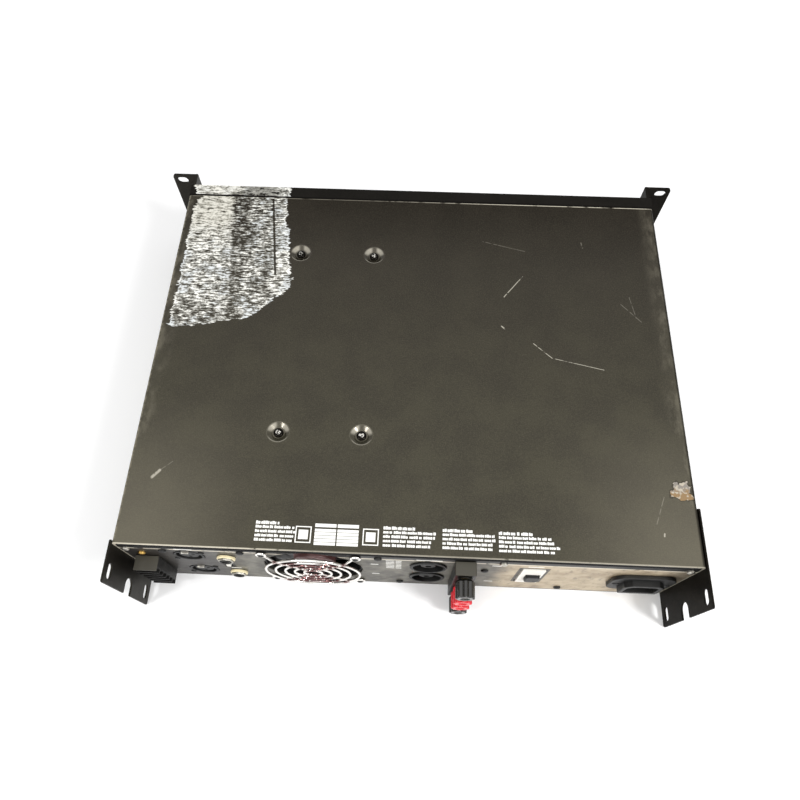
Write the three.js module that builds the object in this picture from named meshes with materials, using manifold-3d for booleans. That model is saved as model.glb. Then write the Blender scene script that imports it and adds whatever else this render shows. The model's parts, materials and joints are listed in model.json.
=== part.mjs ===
// A two-unit, 19-inch rack power amplifier, cooled by a fan that blows through a heat-sink tunnel.
// Millimetres, +Z up. The front panel faces -Y and the connector panel faces +Y.
// The origin is the middle of the footprint, on the surface that the chassis stands on.
// Left and right are as seen from the front, so left is -X.
import * as THREE from "three";
import { mergeVertices } from "three/addons/utils/BufferGeometryUtils.js";
import Module from "manifold-3d";

const wasm = await Module();
wasm.setup();

// ---- driving dimensions -------------------------------------------------------------------------
const RACK_WIDTH = 482.6; // across the front ears, the 19-inch standard
const RACK_HOLE_SPAN = 465.1; // between the left and right rack slots
const RACK_HOLE_PITCH = 76.2; // between the upper and lower rack slots
const HEIGHT = 88.1; // two rack units
const DEPTH = 403.8; // from the face of the front ears to the tips of the rear ears
const BODY_WIDTH = 441; // across the cover's side walls
const SHEET = 1.5; // steel of the shells
const EAR_SHEET = 2.5; // steel of the front ears
const REAR_EAR_SHEET = 1.6; // steel of the rear ears
const GAP = 0.3; // left between pieces that are fastened face to face
const EAR_STAND_OFF = 27.7; // the front ears' face ahead of the cover's front edge
const FACE_RECESS = 14; // the front panel's face behind the front ears' face
const REAR_EAR_REACH = 29.4; // the rear ears' tips behind the cover's rear edge
const PANEL_TOP_DROP = 3.8; // the rear panel's top fold below the cover's top face

const FRONT_Y = -DEPTH / 2;
const REAR_Y = DEPTH / 2;
const HALF_BODY = BODY_WIDTH / 2;
const WALL_IN = HALF_BODY - SHEET;
const COVER_FRONT_Y = FRONT_Y + EAR_STAND_OFF;
const COVER_REAR_Y = REAR_Y - REAR_EAR_REACH;
const COVER_SPAN = [COVER_FRONT_Y, COVER_REAR_Y];
const FACE_Y = FRONT_Y + FACE_RECESS; // outer face of the front panel
const FACE_SHEET = 2;
const FACE_BACK_Y = FACE_Y + FACE_SHEET;
const PANEL_Y = COVER_REAR_Y + 0.5; // outer face of the rear panel
const PANEL_BACK_Y = PANEL_Y - SHEET;
const PANEL_TOP_Z = HEIGHT - PANEL_TOP_DROP;
const EAR_STEP = { y: COVER_REAR_Y - 3, z: 76 }; // the right rear ear stands no higher ahead of it
const BOARD_Y = 147.1; // front face of the input board
const BOARD_SHEET = 1.6;
const SOLDER_Y = BOARD_Y + BOARD_SHEET + GAP; // where the input connectors meet their board
const MID_Z = HEIGHT / 2;
const UP_DOWN = [1, -1]; // the upper piece of a pair, then the lower one
const LEFT_RIGHT = [-1, 1];

// ---- sizes and places on the rear panel ---------------------------------------------------------
const FAN = { x: 73.6, size: 80, depth: 25.4, bore: 38, hole: 39.5, hub: 17, screw: 35.75, blades: 7 };
const GUARD = { wire: 1.1, stand: 4.7, inner: 7.1, pitch: 7.6, rings: 5, eyelet: 3.4 };
const XLR = { x: 169, z: 43, rise: 21, radius: 12, grooveOut: 10, grooveIn: 7.7 };
const LATCH = { width: 6, low: 9.6, high: 11.5, proud: 1.8 };
const JACK = { x: 140, z: 41, rise: 22, body: 15, bush: 4.5, bore: 3.2, nut: 7.2 };
const MODE = { x: 143.5, z: 41, width: 9, height: 17.4, slotWidth: 4.4, slotHeight: 13.2 };
const SPEAKER = { x: -18, z: MID_Z, rise: 16, flange: 14.8, body: 12.6, ring: 12, core: 6.3 };
const POST = { x: -45.35, width: 16.3, reach: 10.9, pitch: 19.05, height: 73 };
const CAP = { radius: 6.9, flute: 0.5, flutes: 8, start: 12.8, end: 27, bore: 3.3 };
const STUD = { radius: 3, bore: 2, end: 25.2 };
const STRIP = { x: 203.8, z: 36.5, width: 18.4, height: 45, reach: 12, floor: 5, poles: 6, fin: 1.2 };
const BREAKER = { x: -99.8, z: 46, width: 19.5, height: 40, clear: 0.9, proud: 1.2, depth: 26 };
const BUTTON = { x: -101.5, z: 44, width: 11, height: 15, proud: 3.6, length: 15 };
const INLET = { x: -188, z: MID_Z, width: 49.6, height: 36, collarWidth: 31, collarHeight: 24 };
const POST_STEPS = [1.5, 0.5, -0.5, -1.5]; // in pitches above the middle of the panel

// ---- sizes and places inside and on the front ---------------------------------------------------
const DIMPLE = { x: 72.7, spread: 33.5, rows: [-108.2, 74.6], radius: 9, floor: 5, depth: 2.6 };
const SCREW = { head: 4, shank: 1.9, length: 14 };
const SINK = { reach: 135, low: 4.5, high: 83.7, base: 7, fin: 1.8, fins: 12, tunnelHalf: 2.5 };
const TOROID = { x: -135, y: -55, outer: 68, inner: 17, low: 1.8, high: 58, round: 10 };
const AMP_BOARD = { x: [-58, 30], y: [-150, 125], z: 12.3 };
const CAN = { x: -14, ys: [-100, -58], radius: 18, height: 55 };
const KNOB = { xs: [165, 197], z: MID_Z, radius: 9 };
const ROCKER = { x: -192, z: MID_Z, width: 10.4, half: 9.2, tiltDegrees: -10 };
const BEZEL = { width: 15.6, height: 25.6, sleeveWidth: 13, sleeveHeight: 23, wall: 1 };
const WINDOW = { x: -45, width: 36, height: 46 };
const VENTS = { centres: [74, -125], columns: 2, slot: 44, bar: 5, high: 3.6, pitch: 7.6, rows: 8 };

// ---- materials ----------------------------------------------------------------------------------
const finish = (color, roughness, metalness) => ({ color, roughness, metalness });
const FINISHES = {
  blackSteel: finish(0x35322c, 0.45, 0.2),
  earSteel: finish(0x1b1a18, 0.4, 0.2),
  rearSteel: finish(0x8a8478, 0.4, 0.6),
  frontPanel: finish(0x232426, 0.55, 0.1),
  blackPlastic: finish(0x171716, 0.5, 0),
  redPlastic: finish(0xb3222c, 0.35, 0),
  creamNickel: finish(0xd8cba6, 0.35, 0.6),
  brass: finish(0xb08d4a, 0.3, 1),
  chrome: finish(0xc9c6c0, 0.2, 1),
  zinc: finish(0xa5a39c, 0.4, 1),
  aluminium: finish(0xa7aaad, 0.45, 1),
  board: finish(0x1f5a36, 0.6, 0),
  capacitor: finish(0x1b2238, 0.45, 0),
  winding: finish(0xb9892b, 0.45, 0.1),
  whitePlastic: finish(0xd9d6cc, 0.5, 0),
  lens: finish(0x101418, 0.15, 0),
};

// ---- solids from geometries ---------------------------------------------------------------------
const MERGE = 1e-4;
const ROUND = 18; // sides of a round piece
const SMALL_ROUND = 12; // sides of a hole, a wire's eyelet or a pin

function solidOf(geometry) {
  const bare = new THREE.BufferGeometry();
  const loose = geometry.index ? geometry.toNonIndexed() : geometry;
  bare.setAttribute("position", loose.getAttribute("position"));
  const merged = mergeVertices(bare, MERGE);
  const corners = Array.from(merged.index.array);
  const triangles = [];
  for (let i = 0; i < corners.length; i += 3) {
    const [a, b, c] = corners.slice(i, i + 3);
    if (a !== b && b !== c && c !== a) triangles.push(a, b, c);
  }
  const mesh = new wasm.Mesh({
    numProp: 3,
    vertProperties: merged.attributes.position.array,
    triVerts: new Uint32Array(triangles),
  });
  return new wasm.Manifold(mesh);
}

function geometryOf(solid) {
  const { vertProperties, triVerts } = solid.getMesh();
  const geometry = new THREE.BufferGeometry();
  geometry.setAttribute("position", new THREE.BufferAttribute(vertProperties, 3));
  geometry.setIndex(new THREE.BufferAttribute(triVerts, 1));
  const faceted = geometry.toNonIndexed();
  faceted.computeVertexNormals();
  return faceted;
}

const join = (first, ...others) => others.reduce((whole, one) => whole.add(one), first);
const cut = (solid, ...tools) => tools.reduce((rest, tool) => rest.subtract(tool), solid);

// A box between two corners.
function block([x0, x1], [y0, y1], [z0, z1]) {
  const box = new THREE.BoxGeometry(x1 - x0, y1 - y0, z1 - z0);
  return solidOf(box.translate((x0 + x1) / 2, (y0 + y1) / 2, (z0 + z1) / 2));
}

// The two ends of a stretch with a middle and a width.
const around = (middle, width) => [middle - width / 2, middle + width / 2];

// A round bar along Y.
function barY(x, z, radius, [y0, y1], sides = ROUND) {
  const bar = new THREE.CylinderGeometry(radius, radius, y1 - y0, sides);
  return solidOf(bar.translate(x, (y0 + y1) / 2, z));
}

// A round bar along Z.
function barZ(x, y, radius, [z0, z1], sides = ROUND) {
  const bar = new THREE.CylinderGeometry(radius, radius, z1 - z0, sides);
  return solidOf(bar.rotateX(Math.PI / 2).translate(x, y, (z0 + z1) / 2));
}

// A round rod between any two points.
function rod(from, to, radius, sides) {
  const start = new THREE.Vector3(...from);
  const along = new THREE.Vector3(...to).sub(start);
  const bar = new THREE.CylinderGeometry(radius, radius, along.length(), sides);
  const turn = new THREE.Quaternion().setFromUnitVectors(
    new THREE.Vector3(0, 1, 0),
    along.clone().normalize(),
  );
  const middle = start.addScaledVector(along, 0.5);
  return solidOf(bar.applyQuaternion(turn).translate(middle.x, middle.y, middle.z));
}

// A ring of round wire that lies square to Y.
function wireRing(x, y, z, radius, wire, steps) {
  const ring = new THREE.TorusGeometry(radius, wire, 4, steps);
  return solidOf(ring.rotateX(Math.PI / 2).translate(x, y, z));
}

// A profile of [radius, height] points, from the bottom up, turned about a line along Z.
function turnedZ(points, x, y, sides = ROUND) {
  const profile = points.map(([radius, height]) => new THREE.Vector2(radius, height));
  const lathe = new THREE.LatheGeometry(profile, sides).rotateX(Math.PI / 2);
  return solidOf(lathe.translate(x, y, 0));
}

// A profile of [radius, y] points, from the front back, turned about a line along Y.
function turnedY(points, x, z, sides = ROUND) {
  const profile = points.map(([radius, along]) => new THREE.Vector2(radius, along));
  return solidOf(new THREE.LatheGeometry(profile, sides).translate(x, 0, z));
}

// An outline in X and Z, given its thickness along Y.
function plateY(shape, [y0, y1], curveSegments = 3) {
  const depth = y1 - y0;
  const plate = new THREE.ExtrudeGeometry(shape, { depth, bevelEnabled: false, curveSegments });
  return solidOf(plate.rotateX(Math.PI / 2).translate(0, y1, 0));
}

// Turns an outline drawn in X and Y, and its depth along Z, to lie in Y and Z with depth along X.
const OUTLINE_TO_YZ = new THREE.Matrix4().makeBasis(
  new THREE.Vector3(0, 1, 0),
  new THREE.Vector3(0, 0, 1),
  new THREE.Vector3(1, 0, 0),
);

// An outline in Y and Z, given its thickness along X.
function plateX(shape, [x0, x1], curveSegments = 3) {
  const depth = x1 - x0;
  const plate = new THREE.ExtrudeGeometry(shape, { depth, bevelEnabled: false, curveSegments });
  return solidOf(plate.applyMatrix4(OUTLINE_TO_YZ).translate(x0, 0, 0));
}

const polygon = (points) => new THREE.Shape(points.map(([u, v]) => new THREE.Vector2(u, v)));

// A rectangle with rounded corners, from its middle.
function roundedRect(u, v, width, height, radius) {
  const [u0, u1] = around(u, width);
  const [v0, v1] = around(v, height);
  const quarter = Math.PI / 2;
  const outline = new THREE.Shape();
  outline.absarc(u1 - radius, v0 + radius, radius, -quarter, 0);
  outline.absarc(u1 - radius, v1 - radius, radius, 0, quarter);
  outline.absarc(u0 + radius, v1 - radius, radius, quarter, 2 * quarter);
  outline.absarc(u0 + radius, v0 + radius, radius, 2 * quarter, 3 * quarter);
  outline.closePath();
  return outline;
}

// A rectangle with its two upper corners cut off.
function chamferedRect(u, v, width, height, chamfer) {
  const [u0, u1] = around(u, width);
  const [v0, v1] = around(v, height);
  return polygon([
    [u0, v0],
    [u1, v0],
    [u1, v1 - chamfer],
    [u1 - chamfer, v1],
    [u0 + chamfer, v1],
    [u0, v1 - chamfer],
  ]);
}

// ---- shells -------------------------------------------------------------------------------------
const BEND = 2.5;
const SIDE_WALL_LOW = 0.5;
const DIMPLE_FLOOR_Z = HEIGHT - DIMPLE.depth;

const dimplePlaces = () =>
  DIMPLE.rows.flatMap((y) => UP_DOWN.map((side) => [DIMPLE.x + side * DIMPLE.spread, y]));

// The cover is a trough that opens downward: the top and both side walls.
function topCover() {
  const outline = new THREE.Shape();
  outline.moveTo(WALL_IN, SIDE_WALL_LOW);
  outline.lineTo(HALF_BODY, SIDE_WALL_LOW);
  outline.absarc(HALF_BODY - BEND, HEIGHT - BEND, BEND, 0, Math.PI / 2);
  outline.absarc(-HALF_BODY + BEND, HEIGHT - BEND, BEND, Math.PI / 2, Math.PI);
  outline.lineTo(-HALF_BODY, SIDE_WALL_LOW);
  outline.lineTo(-WALL_IN, SIDE_WALL_LOW);
  outline.lineTo(-WALL_IN, HEIGHT - SHEET);
  outline.lineTo(WALL_IN, HEIGHT - SHEET);
  outline.closePath();
  return dimplePlaces().reduce(
    (cover, [x, y]) => cut(cover.add(dimpleCup(x, y)), dimpleHollow(x, y)),
    plateY(outline, COVER_SPAN),
  );
}

function dimpleCup(x, y) {
  const under = DIMPLE_FLOOR_Z - SHEET;
  const inSheet = HEIGHT - SHEET / 2;
  const profile = [[0, under], [DIMPLE.floor + 0.8, under], [DIMPLE.radius + 0.8, inSheet]];
  return turnedZ([...profile, [0, inSheet]], x, y, SMALL_ROUND);
}

function dimpleHollow(x, y) {
  const above = HEIGHT + 1;
  const hole = SCREW.shank + GAP;
  const profile = [[0, DIMPLE_FLOOR_Z - SHEET - 1], [hole, DIMPLE_FLOOR_Z - SHEET - 1]];
  const bowl = [[hole, DIMPLE_FLOOR_Z], [DIMPLE.floor, DIMPLE_FLOOR_Z], [DIMPLE.radius, HEIGHT]];
  return turnedZ([...profile, ...bowl, [DIMPLE.radius, above], [0, above]], x, y, SMALL_ROUND);
}

function coverScrew([x, y]) {
  const seat = DIMPLE_FLOOR_Z + GAP;
  const shank = [[0, seat - SCREW.length], [SCREW.shank, seat - SCREW.length], [SCREW.shank, seat]];
  const head = [[SCREW.head, seat], [SCREW.head, seat + 1], [2.6, seat + 1.9], [0, seat + 2.1]];
  return turnedZ([...shank, ...head], x, y, SMALL_ROUND);
}

// The pan is the bottom sheet, with low side flanges and the studs that carry the amplifier board.
function chassisPan() {
  const half = WALL_IN - GAP;
  const flangeHeight = 16;
  const flangeSpan = [COVER_FRONT_Y + 26, PANEL_BACK_Y - GAP];
  const floor = block([-half, half], [COVER_FRONT_Y, PANEL_Y], [0, SHEET]);
  const flanges = LEFT_RIGHT.map((side) => {
    const ends = [side * half, side * (half - SHEET)].sort((a, b) => a - b);
    return block(ends, flangeSpan, [SHEET / 2, flangeHeight]);
  });
  const inset = 8;
  const studs = AMP_BOARD.x.flatMap((x, right) =>
    AMP_BOARD.y.map((y, back) => {
      const [stepX, stepY] = [right ? -inset : inset, back ? -inset : inset];
      return barZ(x + stepX, y + stepY, 3, [SHEET / 2, AMP_BOARD.z - GAP], SMALL_ROUND);
    }),
  );
  return join(floor, ...flanges, ...studs);
}

// The rear panel stands on the pan. Its top edge folds forward under the cover.
function rearPanel() {
  const low = SHEET + GAP;
  const fold = 12;
  const bend = 1.8;
  const outline = new THREE.Shape();
  outline.moveTo(PANEL_BACK_Y, low);
  outline.lineTo(PANEL_Y, low);
  outline.absarc(PANEL_Y - bend, PANEL_TOP_Z - bend, bend, 0, Math.PI / 2);
  outline.lineTo(PANEL_Y - fold, PANEL_TOP_Z);
  outline.lineTo(PANEL_Y - fold, PANEL_TOP_Z - SHEET);
  outline.lineTo(PANEL_BACK_Y, PANEL_TOP_Z - SHEET);
  outline.closePath();
  const half = WALL_IN - 2 * GAP;
  return cut(plateX(outline, [-half, half]), ...rearPanelHoles());
}

function rearPanelHoles() {
  const through = [PANEL_BACK_Y - 1, PANEL_Y + 1];
  const round = (x, z, radius, sides) => barY(x, z, radius, through, sides);
  const square = (x, z, width, height) => block(around(x, width), through, around(z, height));
  const clear = 2 * GAP;
  return [
    round(FAN.x, MID_Z, FAN.hole, 28),
    block(around(FAN.x, FAN.size + 2), [PANEL_Y - 13, PANEL_BACK_Y], [PANEL_TOP_Z - 5, HEIGHT]),
    ...UP_DOWN.map((up) => round(XLR.x, XLR.z + up * XLR.rise, XLR.radius + 0.4)),
    ...UP_DOWN.map((up) => round(JACK.x, JACK.z + up * JACK.rise, JACK.bush + GAP, 16)),
    ...UP_DOWN.map((up) => round(SPEAKER.x, SPEAKER.z + up * SPEAKER.rise, SPEAKER.body + GAP)),
    ...POST_STEPS.map((step) => round(POST.x, MID_Z + step * POST.pitch, STUD.radius + 0.6, 16)),
    square(MODE.x, MODE.z, MODE.width + clear, MODE.height + clear),
    square(STRIP.x, STRIP.z, STRIP.width - 6, STRIP.height - 5),
    square(BREAKER.x, BREAKER.z, BREAKER.width, BREAKER.height),
    square(INLET.x, INLET.z, 28, 21),
  ];
}

// The front panel is a shallow tray. Its top and bottom edges fold back to the cover and the pan.
function frontPanel() {
  const returnEnd = COVER_FRONT_Y - 0.6;
  const half = HALF_BODY;
  const earClear = WALL_IN - 3 * GAP - EAR_SHEET;
  const top = block([-half, half], [FACE_Y, returnEnd], [HEIGHT - FACE_SHEET, HEIGHT]);
  const bottom = block([-half, half], [FACE_Y, returnEnd], [0, FACE_SHEET]);
  const face = block([-earClear, earClear], [FACE_Y, FACE_BACK_Y], [FACE_SHEET / 2, HEIGHT - 1]);
  return cut(join(face, top, bottom), ...frontPanelHoles());
}

function frontPanelHoles() {
  const through = [FACE_Y - 1, FACE_BACK_Y + 1];
  const square = (x, z, width, height) => block(around(x, width), through, around(z, height));
  return [
    ...ventSlots(through),
    ...KNOB.xs.map((x) => barY(x, KNOB.z, 3.8, through, SMALL_ROUND)),
    square(WINDOW.x, MID_Z, WINDOW.width + 2 * GAP, WINDOW.height + 2 * GAP),
    square(ROCKER.x, ROCKER.z, BEZEL.sleeveWidth + 2 * GAP, BEZEL.sleeveHeight + 2 * GAP),
  ];
}

function ventSlots(through) {
  const slots = [];
  for (const centre of VENTS.centres) {
    for (let column = 0; column < VENTS.columns; column += 1) {
      const x = centre + (column - (VENTS.columns - 1) / 2) * (VENTS.slot + VENTS.bar);
      for (let row = 0; row < VENTS.rows; row += 1) {
        const z = MID_Z + (row - (VENTS.rows - 1) / 2) * VENTS.pitch;
        slots.push(block(around(x, VENTS.slot), through, around(z, VENTS.high)));
      }
    }
  }
  return slots;
}

// ---- rack ears ----------------------------------------------------------------------------------
// A front ear is an L: the plate that the rack screws hold, and a flange fastened inside the cover.
function frontEar(side) {
  const flangeOut = WALL_IN - GAP;
  const flangeIn = flangeOut - EAR_SHEET;
  const faceBack = FRONT_Y + EAR_SHEET;
  const stepY = FACE_Y - GAP;
  const flangeEnd = COVER_FRONT_Y + 24;
  const tuck = 4;
  const outline = new THREE.Shape();
  outline.moveTo(flangeIn, HEIGHT);
  outline.lineTo(flangeIn, 0);
  outline.absarc(RACK_WIDTH / 2 - 3, 3, 3, -Math.PI / 2, 0);
  outline.absarc(RACK_WIDTH / 2 - 3, HEIGHT - 3, 3, 0, Math.PI / 2);
  outline.closePath();
  const slots = UP_DOWN.map((up) => {
    const z = MID_Z + (up * RACK_HOLE_PITCH) / 2;
    const slot = roundedRect(RACK_HOLE_SPAN / 2, z, 10.3, 6.8, 3.39);
    return plateY(slot, [FRONT_Y - 1, faceBack + 1]);
  });
  const flange = polygon([
    [FRONT_Y, 0],
    [stepY, 0],
    [stepY, tuck],
    [flangeEnd, tuck],
    [flangeEnd, HEIGHT - tuck],
    [stepY, HEIGHT - tuck],
    [stepY, HEIGHT],
    [FRONT_Y, HEIGHT],
  ]);
  const plate = cut(plateY(outline, [FRONT_Y, faceBack]), ...slots);
  const right = join(plate, plateX(flange, [flangeIn, flangeOut]));
  return side > 0 ? right : right.mirror([1, 0, 0]);
}

// A rear ear is a flat plate against the outside of the cover. Its rear end is notched and slotted.
// The right one stands lower where it lies against the cover.
function rearEar(side) {
  const start = COVER_REAR_Y - 46.9;
  const notch = { depth: 13.3, width: 12, z: 43 };
  const slot = { y: REAR_Y - 10, length: 12, width: 6.5, rise: 35.5 };
  const notchEnd = REAR_Y - notch.depth + notch.width / 2;
  const [notchLow, notchHigh] = around(notch.z, notch.width);
  const outline = new THREE.Shape();
  outline.moveTo(start, 0);
  outline.lineTo(REAR_Y - 2, 0);
  outline.lineTo(REAR_Y, 2);
  outline.lineTo(REAR_Y, notchLow);
  outline.absarc(notchEnd, notch.z, notch.width / 2, -Math.PI / 2, Math.PI / 2, true);
  outline.lineTo(REAR_Y, notchHigh);
  outline.lineTo(REAR_Y, HEIGHT - 2);
  outline.lineTo(REAR_Y - 2, HEIGHT);
  if (side > 0) {
    outline.lineTo(EAR_STEP.y, HEIGHT);
    outline.lineTo(EAR_STEP.y, EAR_STEP.z);
    outline.lineTo(start, EAR_STEP.z);
  } else {
    outline.lineTo(start, HEIGHT);
  }
  outline.closePath();
  const inner = HALF_BODY + GAP;
  const outer = inner + REAR_EAR_SHEET;
  const slots = UP_DOWN.map((up) => {
    const z = MID_Z + up * slot.rise;
    const hole = roundedRect(slot.y, z, slot.length, slot.width, slot.width / 2 - 0.01);
    return plateX(hole, [inner - 1, outer + 1]);
  });
  const right = cut(plateX(outline, [inner, outer], 6), ...slots);
  return side > 0 ? right : right.mirror([1, 0, 0]);
}

// ---- cooling ------------------------------------------------------------------------------------
const FAN_BACK_Y = PANEL_BACK_Y - GAP;
const FAN_FRONT_Y = FAN_BACK_Y - FAN.depth;
const fanCorners = () => UP_DOWN.flatMap((u) => UP_DOWN.map((v) => [u * FAN.screw, v * FAN.screw]));

function fanFrame() {
  const span = [FAN_FRONT_Y, FAN_BACK_Y];
  const past = [FAN_FRONT_Y - 1, FAN_BACK_Y + 1];
  const body = plateY(roundedRect(FAN.x, MID_Z, FAN.size, FAN.size, 4), span, 2);
  const frame = cut(body, barY(FAN.x, MID_Z, FAN.bore, past, 28));
  const holes = fanCorners().map(([u, v]) =>
    barY(FAN.x + u, MID_Z + v, 2.2, past, 6),
  );
  const arms = [0, 1, 2, 3].map((quarter) => {
    const arm = new THREE.BoxGeometry(4, 3, FAN.bore - 10);
    arm.translate(0, 0, (FAN.bore + 11) / 2);
    arm.rotateY(((quarter + 0.5) * Math.PI) / 2);
    return solidOf(arm.translate(FAN.x, FAN_FRONT_Y + 1.5, MID_Z));
  });
  const seat = barY(FAN.x, MID_Z, FAN.hub, [FAN_FRONT_Y, FAN_FRONT_Y + 3]);
  return cut(join(frame, seat, ...arms), ...holes);
}

function fanRotor() {
  const front = FAN_FRONT_Y + 3.6;
  const back = FAN_BACK_Y - 1.5;
  const profile = [[0, front], [FAN.hub, front], [FAN.hub, back - 1.5], [FAN.hub - 1.5, back]];
  const hub = turnedY([...profile, [0, back]], FAN.x, MID_Z);
  const middle = (front + back) / 2;
  const blades = [];
  for (let i = 0; i < FAN.blades; i += 1) {
    const blade = fanBlade().rotateY((i * 2 * Math.PI) / FAN.blades);
    blades.push(solidOf(blade.translate(FAN.x, middle, MID_Z)));
  }
  return join(hub, ...blades);
}

// A cambered blade that stands on the hub along Z, steep at its root and flatter at its tip.
function fanBlade() {
  const chord = 19;
  const camber = 2.4;
  const thickness = 1.3;
  const steps = 3;
  const curve = (lift) => (t) => [chord * (t - 0.5), camber * Math.sin(Math.PI * t) + lift];
  const fractions = Array.from({ length: steps + 1 }, (_, i) => i / steps);
  const lower = fractions.map(curve(0));
  const upper = fractions.map(curve(thickness)).reverse();
  const root = FAN.hub - 1.5;
  const tipClearance = 2.6;
  const depth = FAN.bore - tipClearance - root;
  const options = { depth, steps: 2, bevelEnabled: false };
  const blade = new THREE.ExtrudeGeometry(polygon([...lower, ...upper]), options);
  const point = new THREE.Vector3();
  const spots = blade.getAttribute("position");
  for (let i = 0; i < spots.count; i += 1) {
    point.fromBufferAttribute(spots, i);
    const pitch = THREE.MathUtils.degToRad(52 - (24 * point.z) / depth);
    point.applyAxisAngle(new THREE.Vector3(0, 0, 1), pitch);
    spots.setXYZ(i, point.x, point.y, point.z + root);
  }
  return blade;
}

// Rings of wire on four struts, which slope down to an eyelet at each fan screw.
function fanGuard() {
  const ringY = PANEL_Y + GUARD.stand;
  const strutY = ringY - 0.7 * GUARD.wire;
  const eyeletY = PANEL_Y + GUARD.wire + GAP;
  const rings = [];
  for (let i = 0; i < GUARD.rings; i += 1) {
    const radius = GUARD.inner + i * GUARD.pitch;
    rings.push(wireRing(FAN.x, ringY, MID_Z, radius, GUARD.wire, 12 + 4 * i));
  }
  const legs = fanCorners().flatMap(([u, v]) => {
    const at = (share, y) => [FAN.x + u * share, y, MID_Z + v * share];
    const inner = (GUARD.inner - 1) / Math.hypot(u, v);
    const knee = (GUARD.inner + (GUARD.rings - 1) * GUARD.pitch + 2) / Math.hypot(u, v);
    const eye = 1 - GUARD.eyelet / Math.hypot(u, v);
    return [
      rod(at(inner, strutY), at(knee, strutY), GUARD.wire, 4),
      rod(at(knee - 0.03, strutY), at(eye, eyeletY), GUARD.wire, 4),
      wireRing(FAN.x + u, eyeletY, MID_Z + v, GUARD.eyelet, GUARD.wire, 8),
    ];
  });
  return join(...rings, ...legs);
}

// Each heat sink is a comb: an upright base with fins that point into the air tunnel.
function heatSink(side) {
  const baseOut = DIMPLE.spread + SINK.base / 2;
  const baseIn = baseOut - SINK.base;
  const pitch = (SINK.high - SINK.low - SINK.fin) / (SINK.fins - 1);
  const points = [[baseOut, SINK.low], [baseOut, SINK.high]];
  for (let i = SINK.fins - 1; i >= 0; i -= 1) {
    const low = SINK.low + i * pitch;
    points.push([SINK.tunnelHalf, low + SINK.fin], [SINK.tunnelHalf, low]);
    if (i > 0) points.push([baseIn, low], [baseIn, low - pitch + SINK.fin]);
  }
  const outline = polygon(points.map(([u, z]) => [DIMPLE.x + side * u, z]));
  const comb = plateY(outline, [-SINK.reach, SINK.reach]);
  const holeLow = DIMPLE_FLOOR_Z - SCREW.length - 1;
  const holes = DIMPLE.rows.map((y) =>
    barZ(DIMPLE.x + side * DIMPLE.spread, y, SCREW.shank + GAP, [holeLow, HEIGHT], 16),
  );
  return cut(comb, ...holes);
}

// ---- power supply and boards --------------------------------------------------------------------
function toroidTransformer() {
  const { outer, inner, low, high, round } = TOROID;
  const corners = [
    [outer - round, low + round, -90],
    [outer - round, high - round, 0],
    [inner + round, high - round, 90],
    [inner + round, low + round, 180],
  ];
  const steps = [0, 45, 90];
  const profile = corners.flatMap(([u, v, turn]) =>
    steps.map((step) => {
      const angle = THREE.MathUtils.degToRad(turn + step);
      return [u + round * Math.cos(angle), v + round * Math.sin(angle)];
    }),
  );
  return turnedZ([...profile, profile[0]], TOROID.x, TOROID.y, 22);
}

// A dished washer on a bolt, which presses the transformer onto the pan.
function transformerClamp() {
  const seat = TOROID.high + GAP;
  const bolt = [[0, SHEET + GAP], [4, SHEET + GAP], [4, seat]];
  const washer = [[30, seat], [31, seat + 1.5], [9, seat + 3]];
  const head = [[7, seat + 3], [7, seat + 8], [0, seat + 8]];
  return turnedZ([...bolt, ...washer, ...head], TOROID.x, TOROID.y);
}

const amplifierBoard = () =>
  block(AMP_BOARD.x, AMP_BOARD.y, [AMP_BOARD.z, AMP_BOARD.z + BOARD_SHEET]);

const inputBoard = () => block([121, 215], [BOARD_Y, BOARD_Y + BOARD_SHEET], [6, 80]);

function filterCapacitor(y) {
  const low = AMP_BOARD.z + BOARD_SHEET + GAP;
  const high = low + CAN.height;
  const { radius } = CAN;
  const side = [[0, low], [radius, low], [radius, high - 1.5], [radius - 1.5, high]];
  const dish = [[radius - 3, high], [radius - 3.5, high - 0.8], [0, high - 0.8]];
  return turnedZ([...side, ...dish], CAN.x, y);
}

// ---- input connectors ---------------------------------------------------------------------------
function xlrInput(up) {
  const z = XLR.z + up * XLR.rise;
  const faceY = PANEL_Y + 0.5;
  const shell = [[0, SOLDER_Y], [XLR.radius, SOLDER_Y], [XLR.radius, faceY], [XLR.grooveOut, faceY]];
  const grooveY = faceY - 14;
  const insert = [[XLR.grooveOut, grooveY], [XLR.grooveIn, grooveY], [XLR.grooveIn, faceY - 1]];
  const body = turnedY([...shell, ...insert, [0, faceY - 1]], XLR.x, z);
  const contacts = [0, 120, 240].map((degrees) => {
    const angle = THREE.MathUtils.degToRad(degrees - 90);
    const [x, rise] = [XLR.x + 4.2 * Math.cos(angle), 4.2 * Math.sin(angle)];
    return barY(x, z + rise, 1.4, [faceY - 11, faceY], 8);
  });
  const notchWidth = LATCH.width + 0.8;
  const notch = block(around(XLR.x, notchWidth), [faceY - 13, faceY + 1], [z + 9.2, z + 13]);
  return cut(body, ...contacts, notch);
}

function xlrLatch(up) {
  const z = XLR.z + up * XLR.rise;
  const end = PANEL_Y + LATCH.proud;
  return block(around(XLR.x, LATCH.width), [end - 11, end], [z + LATCH.low, z + LATCH.high]);
}

function trsJack(up) {
  const z = JACK.z + up * JACK.rise;
  const end = PANEL_Y + 4.6;
  const bodyEnd = PANEL_BACK_Y - GAP;
  const body = block(around(JACK.x, JACK.body), [SOLDER_Y, bodyEnd], around(z, JACK.body));
  const bush = barY(JACK.x, z, JACK.bush, [bodyEnd - 1, end], 16);
  return cut(join(body, bush), barY(JACK.x, z, JACK.bore, [SOLDER_Y + 3, end + 1], 16));
}

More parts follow.
